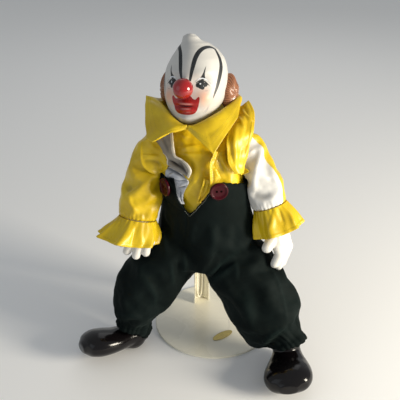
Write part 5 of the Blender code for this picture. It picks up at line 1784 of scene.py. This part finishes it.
def make_overalls(context):
    """Velvet overalls with a stitched bib, soft folds, and gathers at the ankles."""
    depth = context.scene.clown_cloth.fold
    overalls = seeded(melted(copy_of("overalls", "velvet_overalls"), *OVERALLS_SKIN))
    places, normals = places_of(overalls)
    raised(overalls, 0.8 * fold_lift(places, normals, VELVET_FOLDS, depth))
    free = np.clip((152.0 - places[:, 2]) / 18.0, 0.0, 1.0) * np.clip((places[:, 2] - 34.0) / 12.0, 0.0, 1.0)
    free *= 1.0 - clamped_share(places)
    overalls = finer(crumpled(context, overalls, free, *OVERALLS_LOOSE))
    places, normals = places_of(overalls)
    lift = fold_lift(places, normals, VELVET_FOLDS, depth * 0.8)
    # Painted highlight on the ridges of the velvet's folds
    mark(overalls, "ridge", np.clip(lift / RIDGE_HIGH, 0.0, 1.0))
    low = np.clip((150.0 - places[:, 2]) / 30.0, 0.25, 1.0) * (1.0 - clamped_share(places))
    raised(overalls, lift + ripples(places, VELVET_WAVES) * low * depth + leg_gathers(places, depth))
    placed(context, overalls, "dark_velvet", "green_velvet", "overalls")
    stitch_bib(context, overalls)


def make_button(context, node, name, degrees, turned, z, back):
    """A dished button with a rounded rim and two holes."""
    middle = trunk_point(degrees, z)
    side = (trunk_point(turned + 4.0, z) - trunk_point(turned - 4.0, z)).normalized()
    up = Vector((0, 0, 1))
    out = side.cross(up)

    def disc(centre, depth, size, count):
        turns = [math.tau * i / count for i in range(count)]
        return [centre + out * (back + depth) + (side * math.cos(a) + up * math.sin(a)) * size for a in turns]

    button = tube_of_rings(name, [
        disc(middle, BUTTON_THICK * high, BUTTON_RADIUS * share, BUTTON_SIDES) for high, share in BUTTON_PROFILE
    ])
    for way in (-1, 1):
        centre = middle + side * way * BUTTON_HOLE_ASIDE
        ends = (-BUTTON_THICK, BUTTON_THICK * 2)
        hole = tube_of_rings("hole", [disc(centre, depth, BUTTON_HOLE, BUTTON_HOLE_SIDES) for depth in ends])
        cut = button.modifiers.new("hole", "BOOLEAN")
        cut.operation = "DIFFERENCE"
        cut.object = hole
        cut.solver = "EXACT"
        applied(button)
        bpy.data.objects.remove(hole)
    button.data.set_sharp_from_angle(angle=math.radians(50))
    placed(context, button, "button_plastic", "button_red", node)


def make_sleeve(context, node, name, stations, folds, finish, slot):
    """A stuffed sleeve that settles into folds, with the photograph's own folds in front and a gathered end."""
    depth = context.scene.clown_cloth.fold
    sleeve = seeded(melted(copy_of(node, name), *SLEEVE_SKIN))
    places, normals = places_of(sleeve)
    raised(sleeve, 0.8 * fold_lift(places, normals, folds, depth))
    share, angle, _ = limb_place(places, stations)
    free = np.clip(share / 0.15, 0.0, 1.0) * np.clip((0.97 - share) / 0.14, 0.0, 1.0)
    turned = np.degrees(angle)
    mark(sleeve, "seam", np.where(turned > -90, 33.0 - turned, turned + 160.0) * 0.3)
    sleeve = finer(crumpled(context, sleeve, free, *SLEEVE_LOOSE))
    places, normals = places_of(sleeve)
    share, angle, _ = limb_place(places, stations)
    lift = 0.7 * fold_lift(places, normals, folds, depth)
    # Painted shade in the creases of the sleeve's folds
    mark(sleeve, "crease", np.clip(-lift / CREASE_DEEP, 0.0, 0.5))
    gather = np.clip((share - 0.86) / 0.14, 0, 1)
    lift += gather * 0.35 * np.sin(26 * angle + 2 * np.sin(3 * angle)) * depth
    raised(sleeve, lift)
    placed(context, sleeve, finish, slot, node)


def make_cuff(context, node, name, stations, form, folds):
    """A gathered frill with a turned hem that flares from a sleeve's end."""
    cloth = context.scene.clown_cloth
    middle, side, front, wide, deep, ahead = limb_frame(stations, 1.0)
    rows, sides = CUFF_GRID
    angle = math.tau * np.arange(sides) / sides
    share = np.linspace(0, 1, rows)[:, None]
    phase = CUFF_WAVES * angle + 0.9 * np.sin(angle * 2)
    pleat = np.cos(phase) + 0.30 * np.cos(2 * phase + 0.6) + 0.10 * np.cos(3 * phase)
    wave = pleat[None] * form["wave"] * share
    crimp = 0.30 * np.cos(4 * phase + 1.1 * np.sin(3 * angle))[None] * (1 - share) ** 2
    out = form["flare"] * np.sin(share * math.pi / 2) + wave + crimp - 0.9 * (1 - share)
    drop = (CUFF_LENGTH + 1.0 - 0.25 * wave) * share
    side_reach = ((wide + out) * np.cos(angle))[..., None] * np.array(side)
    front_reach = ((deep + out) * np.sin(angle))[..., None] * np.array(front)
    lean = (share * share)[..., None] * np.array(form["lean"])
    grid = np.array(middle) + side_reach + front_reach + drop[..., None] * np.array(ahead) + lean
    outward = np.sign((grid_normals(grid, True) * (side_reach + front_reach)).sum(axis=-1).mean())
    normals = grid_normals(grid, True) * outward
    lift = fold_lift(grid, normals, folds, cloth.fold) * share ** 0.5
    grid = grid + normals * lift[..., None]
    hem_share = cloth.hem / MM / CUFF_LENGTH
    hem = 1.0 + 0.7 * np.clip((share - (1 - hem_share)) / 0.02, 0, 1)
    half = cloth.sheet / MM / 2 * hem * np.ones((rows, sides))
    cuff = cloth_of_grid(name, grid, half, closed=True)
    placed(context, cuff, "yellow_cloth", "yellow_satin", node)
    normals = grid_normals(grid, True) * outward
    row = int((1 - hem_share) * (rows - 1))
    around = list(range(sides)) + [0]
    line = (grid[row] + normals[row] * half[row][:, None] * 0.75)[around]
    lines = [(line, normals[row][around])]
    stitches = stitched(context, name + "_stitching", lines, "yellow_thread", "yellow_satin")


def fitted_collar(grid, degrees):
    """Moves the collar across the photograph's view until its roll and its edge fall where they do there."""
    rows = len(grid)
    pixels = photo_place(grid)
    share = np.linspace(0, 1, rows)
    moves = np.zeros(pixels.shape)
    for side, fit in ((-1, COLLAR_RIGHT_FIT), (1, COLLAR_LEFT_FIT)):
        fit = np.array(fit)
        for c in np.flatnonzero(np.sign(degrees) == side):
            away = abs(degrees[c])
            fade = np.clip((COLLAR_FIT_END - away) / (COLLAR_FIT_END - fit[-1, 0]), 0.0, 1.0)
            wanted = [np.interp(away, fit[:, 0], fit[:, k]) for k in range(1, 5)]
            roll = (np.array(wanted[:2]) - pixels[rows // 2, c]) * fade
            edge = (np.array(wanted[2:]) - pixels[-1, c]) * fade
            for k in range(2):
                moves[:, c, k] = np.interp(share, (0.0, 0.5, 1.0), (0.0, roll[k], edge[k]))
    soft = evened(moves, 90)
    crisp = np.clip((share - 0.45) / 0.5, 0.0, 1.0)[:, None, None] ** 1.5
    moves = soft + (moves - soft) * crisp
    depth = (grid * MM - np.array(CAMERA_PLACE)) @ np.array((0.0, math.cos(CAMERA_DIP), -math.sin(CAMERA_DIP)))
    size = (depth / PHOTO_FOCUS / MM)[..., None]
    across = np.array((1.0, 0.0, 0.0))
    up = np.array((0.0, math.sin(CAMERA_DIP), math.cos(CAMERA_DIP)))
    return grid + (moves[..., :1] * across - moves[..., 1:] * up) * size


def collar_columns():
    """The collar's cross-sections from its right front end, round the back, to its left front end."""
    half = []
    for start, end in zip(COLLAR[:-1], COLLAR[1:]):
        half += [[a + (b - a) * k / COLLAR_STEPS for a, b in zip(start, end)] for k in range(COLLAR_STEPS)]
    return mirrored(half) + [COLLAR[-1]] + half[::-1]


def collar_grid(columns):
    """Points from the neck up to the roll and down to the edge, soft at the neck and crisp at the corners."""
    neck_radius, neck_height = COLLAR_NECK
    grid = np.empty((COLLAR_ROWS, len(columns), 3))
    for c, (degrees, roll_radius, roll_height, edge_radius, edge_height) in enumerate(columns):
        section = (
            (neck_radius, neck_height),
            ((neck_radius + roll_radius) / 2 + 1.0, (neck_height + roll_height) / 2 - 2.0),
            (roll_radius, roll_height),
            ((roll_radius + edge_radius) / 2 + 0.8, (roll_height + edge_height) / 2 + 1.8),
            (edge_radius, edge_height),
        )
        for r in range(COLLAR_ROWS):
            radius, height = smooth_row(section, r / (COLLAR_ROWS - 1))
            x, y = turn_z(0.0, -radius, COLLAR_TURN + degrees)
            grid[r, c] = (COLLAR_MIDDLE[0] + x, COLLAR_MIDDLE[1] + y, height)
    grid = evened(grid, 6)
    soft = evened(grid, 60)
    crisp = np.clip((np.linspace(0, 1, COLLAR_ROWS) - 0.6) / 0.38, 0.0, 1.0)[:, None, None]
    return soft + (grid - soft) * crisp


def make_collar(context):
    """A wide pointed collar with topstitched edges, stood up round the neck and folded down."""
    cloth = context.scene.clown_cloth
    columns = collar_columns()
    rows = COLLAR_ROWS
    grid = collar_grid(columns)
    grid = fitted_collar(grid, np.array([column[0] for column in columns]))
    normals = grid_normals(grid, False)
    upward = np.sign(normals[rows // 2:, :, 2].mean())
    normals *= upward
    share = np.linspace(0, 1, rows)[:, None]
    lift = fold_lift(grid, normals, COLLAR_FOLDS, cloth.fold)
    lift += ripples(grid.reshape(-1, 3), COLLAR_WAVES).reshape(lift.shape) * share * cloth.fold
    grid = grid + normals * (lift * np.clip(share * 2, 0, 1))[..., None]
    edge = np.minimum(np.linalg.norm(grid - grid[-1:], axis=-1), 99)
    right_end = np.linalg.norm(grid - grid[:, :1], axis=-1)
    left_end = np.linalg.norm(grid - grid[:, -1:], axis=-1)
    ends = np.where(share > 0.5, np.minimum(right_end, left_end), 99.0)
    near = np.minimum(edge, ends)
    half = cloth.sheet / MM / 2 * (1.05 + 0.45 * np.clip((cloth.hem / MM - near) / 0.3, 0, 1))
    collar = cloth_of_grid("satin_collar", grid, half)
    placed(context, collar, "yellow_cloth", "yellow_satin", "collar")
    normals = grid_normals(grid, False) * upward
    lines = []
    upper = grid + normals * half[..., None]
    for inset in (0.88, 0.80):
        row = int(inset * (rows - 1))
        lines.append((grid[row] + normals[row] * half[row][:, None] * 0.8, normals[row]))
    rest = slice(int(rows * 0.58), int(rows * 0.93))
    for column in (5, len(columns) - 6):
        lines.append((upper[rest, column], normals[rest, column]))
    stitches = stitched(context, "collar_stitching", lines, "yellow_thread", "yellow_satin")


def make_laid(context, name, rows, folds, lifts, finish, slot, crimp=0.0, nodes=(), rolled=1.5, trim=False):
    """A piece of cloth laid on the blouse along rows of the photograph's pixels. lifts are how far its left
    edge, middle and right edge stand off the cloth below, and rolled is the width of its hem. trim is not used."""
    cloth = context.scene.clown_cloth
    below = joined("below", [copy_of(node, node) for node in LAID_OVER])
    tree = BVHTree.FromObject(below, context.evaluated_depsgraph_get())
    bpy.data.objects.remove(below)
    down, across = LAID_GRID
    edges = np.array([smooth_row(rows, i / (down - 1)) for i in range(down)])
    share = np.linspace(0, 1, across)[None, :, None]
    pixels = edges[:, None, :2] + (edges[:, None, 2:] - edges[:, None, :2]) * share
    grid, ways = laid_on(tree, pixels, 60)
    u = share[0, :, 0]
    profile = np.interp(u, (0.0, 0.5, 1.0), lifts)
    grid = grid - ways * profile[None, :, None]
    normals = grid_normals(grid, False)
    normals *= -np.sign((normals * ways).sum(axis=-1).mean())
    lift = fold_lift(grid, normals, folds, cloth.fold)
    v = np.linspace(0, 1, down)[:, None]
    if crimp:
        lift += crimp * np.sin(v * 70 + 3 * np.sin(v * 9) + u[None] * 5) * (0.3 + 0.7 * np.abs(u[None] - 0.5))
    grid = grid + normals * lift[..., None]
    near = np.minimum(u, 1 - u)[None] * np.linalg.norm(grid[:, -1] - grid[:, 0], axis=-1)[:, None]
    half = cloth.sheet / MM / 2 * (0.9 + 0.5 * np.clip((rolled - near) / 0.4, 0, 1))
    piece = cloth_of_grid(name, grid, half)
    outer = rolled - np.linalg.norm(grid - grid[:, -1:], axis=-1)
    inner = rolled * 0.45 - np.linalg.norm(grid - grid[:, :1], axis=-1)
    edge = np.maximum(outer, inner).ravel()
    mark(piece, "seam", np.concatenate([edge, edge]))
    # Painted shade in the creases of the folds
    crease = np.clip(-lift / CREASE_DEEP, 0.0, 1.0).ravel()
    mark(piece, "crease", np.concatenate([crease, crease]))
    placed(context, piece, finish, slot, *nodes)
    if trim:
        return piece
    return piece


def make_frill(context, node, edges, finish, slot, ruffle, wanders, folds):
    """A gathered strip of satin on the blouse, with a rolled outer edge."""
    cloth = context.scene.clown_cloth
    rows, columns = FRILL_GRID
    grid = np.empty((rows, columns, 3))
    across = np.linspace(0, 1, columns)
    for r in range(rows):
        row = smooth_row(edges, r / (rows - 1))
        inner, outer = np.array(row[:3]), np.array(row[3:])
        bulge = np.array((0.0, -1.0, 0.35)) * FRILL_BULGE
        grid[r] = inner + (outer - inner) * across[:, None] + bulge * np.sin(math.pi * across)[:, None]
    normals = grid_normals(grid, False)
    frontward = np.sign((normals * np.array((0.0, -1.0, 0.5))).sum(axis=-1).mean())
    normals *= frontward
    down = np.linspace(0, 1, rows)[:, None]
    free = across[None] if ruffle > 0 else 1 - across[None]
    wave = np.sin(down * wanders * math.tau + 0.8 * np.sin(down * 9)) * abs(ruffle) * (0.15 + 0.85 * free)
    wave += 0.25 * np.sin(down * wanders * 2.7 * math.tau + across[None] * 2)
    grid = grid + normals * (wave * cloth.fold)[..., None]
    grid = grid + normals * fold_lift(grid, normals, folds, cloth.fold)[..., None]
    near = np.minimum(across, 1 - across)[None] * np.linalg.norm(grid[:, -1] - grid[:, 0], axis=-1)[:, None]
    half = cloth.sheet / MM / 2 * (1.0 + 0.6 * np.clip((1.3 - near) / 0.3, 0, 1))
    frill = cloth_of_grid("satin_" + node, grid, half)
    placed(context, frill, finish, slot, node)
    normals = grid_normals(grid, False) * frontward
    column = int((columns - 1) * (0.90 if ruffle > 0 else 0.10))
    line = (grid[:, column] + normals[:, column] * half[:, column][:, None], normals[:, column])
    thread = "yellow_thread" if slot == "yellow_satin" else "pale_thread"
    stitches = stitched(context, node + "_stitching", [line], thread, slot)


# Operators

class CLOWN_OT_stage(bpy.types.Operator):
    """Set the floor, the studio lights and the camera"""

    bl_idname = "clown.stage"
    bl_label = "Stage"

    def execute(self, context):
        looks = context.scene.clown_stage
        make_floor(context, looks)
        make_lights(context, looks)
        make_camera(context)
        return {"FINISHED"}


class CLOWN_OT_stand(bpy.types.Operator):
    """Enamel the stand's foot, channel, rivet and wire"""

    bl_idname = "clown.stand"
    bl_label = "Stand"

    def execute(self, context):
        make_base(context)
        make_upright(context)
        return {"FINISHED"}


class CLOWN_OT_label(bpy.types.Operator):
    """Put the plain foil label on the stand's foot"""

    bl_idname = "clown.label"
    bl_label = "Label"

    def execute(self, context):
        make_label(context)
        return {"FINISHED"}


class CLOWN_OT_head(bpy.types.Operator):
    """Model the porcelain head and paint its face"""

    bl_idname = "clown.head"
    bl_label = "Head"

    def execute(self, context):
        make_head(context)
        return {"FINISHED"}


class CLOWN_OT_hands(bpy.types.Operator):
    """Model both porcelain hands"""

    bl_idname = "clown.hands"
    bl_label = "Hands"

    def execute(self, context):
        make_hand(context, "right_hand", "china_right_hand", RIGHT_SLEEVE, RIGHT_HAND)
        make_hand(context, "left_hand", "china_left_hand", LEFT_SLEEVE, LEFT_HAND)
        return {"FINISHED"}


class CLOWN_OT_shoes(bpy.types.Operator):
    """Model both glazed shoes"""

    bl_idname = "clown.shoes"
    bl_label = "Shoes"

    def execute(self, context):
        make_shoe(context, "right_shoe", "glazed_right_shoe", RIGHT_SHOE)
        make_shoe(context, "left_shoe", "glazed_left_shoe", LEFT_SHOE)
        return {"FINISHED"}


class CLOWN_OT_blouse(bpy.types.Operator):
    """Lay the blouse's satin over the body"""

    bl_idname = "clown.blouse"
    bl_label = "Blouse"

    def execute(self, context):
        make_blouse(context)
        return {"FINISHED"}


class CLOWN_OT_overalls(bpy.types.Operator):
    """Fold, gather and stitch the velvet overalls"""

    bl_idname = "clown.overalls"
    bl_label = "Overalls"

    def execute(self, context):
        make_overalls(context)
        return {"FINISHED"}


class CLOWN_OT_buttons(bpy.types.Operator):
    """Sew a button on each point of the bib"""

    bl_idname = "clown.buttons"
    bl_label = "Buttons"

    def execute(self, context):
        make_button(context, "right_button", "sewn_right_button", -26.5, -44.0, 186.5, VELVET + 4.4)
        make_button(context, "left_button", "sewn_left_button", 38.0, 34.0, 188.8, VELVET + 2.0)
        return {"FINISHED"}


class CLOWN_OT_sleeves(bpy.types.Operator):
    """Fold the yellow sleeve and the white one"""

    bl_idname = "clown.sleeves"
    bl_label = "Sleeves"

    def execute(self, context):
        make_sleeve(
            context, "right_sleeve", "satin_right_sleeve", RIGHT_SLEEVE, YELLOW_SLEEVE_FOLDS, "yellow_cloth",
            "yellow_satin",
        )
        make_sleeve(
            context, "left_sleeve", "satin_left_sleeve", LEFT_SLEEVE, WHITE_SLEEVE_FOLDS, "two_colour_cloth",
            "white_satin",
        )
        return {"FINISHED"}


class CLOWN_OT_cuffs(bpy.types.Operator):
    """Gather the frilled cuffs"""

    bl_idname = "clown.cuffs"
    bl_label = "Cuffs"

    def execute(self, context):
        make_cuff(context, "right_cuff", "satin_right_cuff", RIGHT_SLEEVE, RIGHT_CUFF, RIGHT_CUFF_FOLDS)
        make_cuff(context, "left_cuff", "satin_left_cuff", LEFT_SLEEVE, LEFT_CUFF, LEFT_CUFF_FOLDS)
        return {"FINISHED"}


class CLOWN_OT_collar(bpy.types.Operator):
    """Fold the pointed collar and stitch its edges"""

    bl_idname = "clown.collar"
    bl_label = "Collar"

    def execute(self, context):
        make_collar(context)
        return {"FINISHED"}


class CLOWN_OT_frills(bpy.types.Operator):
    """Sew the ruffles and the shoulder flounces on the blouse"""

    bl_idname = "clown.frills"
    bl_label = "Frills"

    def execute(self, context):
        for plan in LAID_PIECES:
            make_laid(context, *plan)
        tip = make_laid(context, *LAID_TIP, trim=True)
        make_frill(
            context, "left_shoulder_frill", LEFT_SHOULDER_FRILL, "yellow_cloth", "yellow_satin", 1.0, 1.6,
            FLOUNCE_FOLDS,
        )
        return {"FINISHED"}


class CLOWN_PT_sidebar(bpy.types.Panel):
    """Lists the doll's operators, sizes and colours"""

    bl_idname = "CLOWN_PT_sidebar"
    bl_label = "Clown Doll"
    bl_space_type = "VIEW_3D"
    bl_region_type = "UI"
    bl_category = "Clown Doll"

    def draw(self, context):
        for operator in OPERATORS:
            self.layout.operator(operator.bl_idname)
        for name in GROUPS:
            group = getattr(context.scene, name)
            box = self.layout.box()
            for key in group.__annotations__:
                box.prop(group, key)


OPERATORS = (
    CLOWN_OT_stage, CLOWN_OT_stand, CLOWN_OT_label, CLOWN_OT_head, CLOWN_OT_hands, CLOWN_OT_shoes,
    CLOWN_OT_blouse, CLOWN_OT_overalls, CLOWN_OT_buttons, CLOWN_OT_sleeves, CLOWN_OT_cuffs, CLOWN_OT_collar,
    CLOWN_OT_frills,
)
GROUPS = {
    "clown_porcelain": ClownPorcelain,
    "clown_cloth": ClownCloth,
    "clown_stand": ClownStand,
    "clown_stage": ClownStage,
}


def register():
    for group in GROUPS.values():
        bpy.utils.register_class(group)
    for name, group in GROUPS.items():
        setattr(bpy.types.Scene, name, bpy.props.PointerProperty(type=group))
    for operator in OPERATORS:
        bpy.utils.register_class(operator)
    bpy.utils.register_class(CLOWN_PT_sidebar)


def unregister():
    bpy.utils.unregister_class(CLOWN_PT_sidebar)
    for operator in reversed(OPERATORS):
        bpy.utils.unregister_class(operator)
    for name, group in GROUPS.items():
        delattr(bpy.types.Scene, name)
        bpy.utils.unregister_class(group)


def main():
    register()
    bpy.ops.clown.stage()
    bpy.ops.clown.stand()
    bpy.ops.clown.label()
    bpy.ops.clown.head()
    bpy.ops.clown.hands()
    bpy.ops.clown.shoes()
    bpy.ops.clown.blouse()
    bpy.ops.clown.overalls()
    bpy.ops.clown.buttons()
    bpy.ops.clown.sleeves()
    bpy.ops.clown.cuffs()
    bpy.ops.clown.collar()
    bpy.ops.clown.frills()


if __name__ == "__main__":
    main()
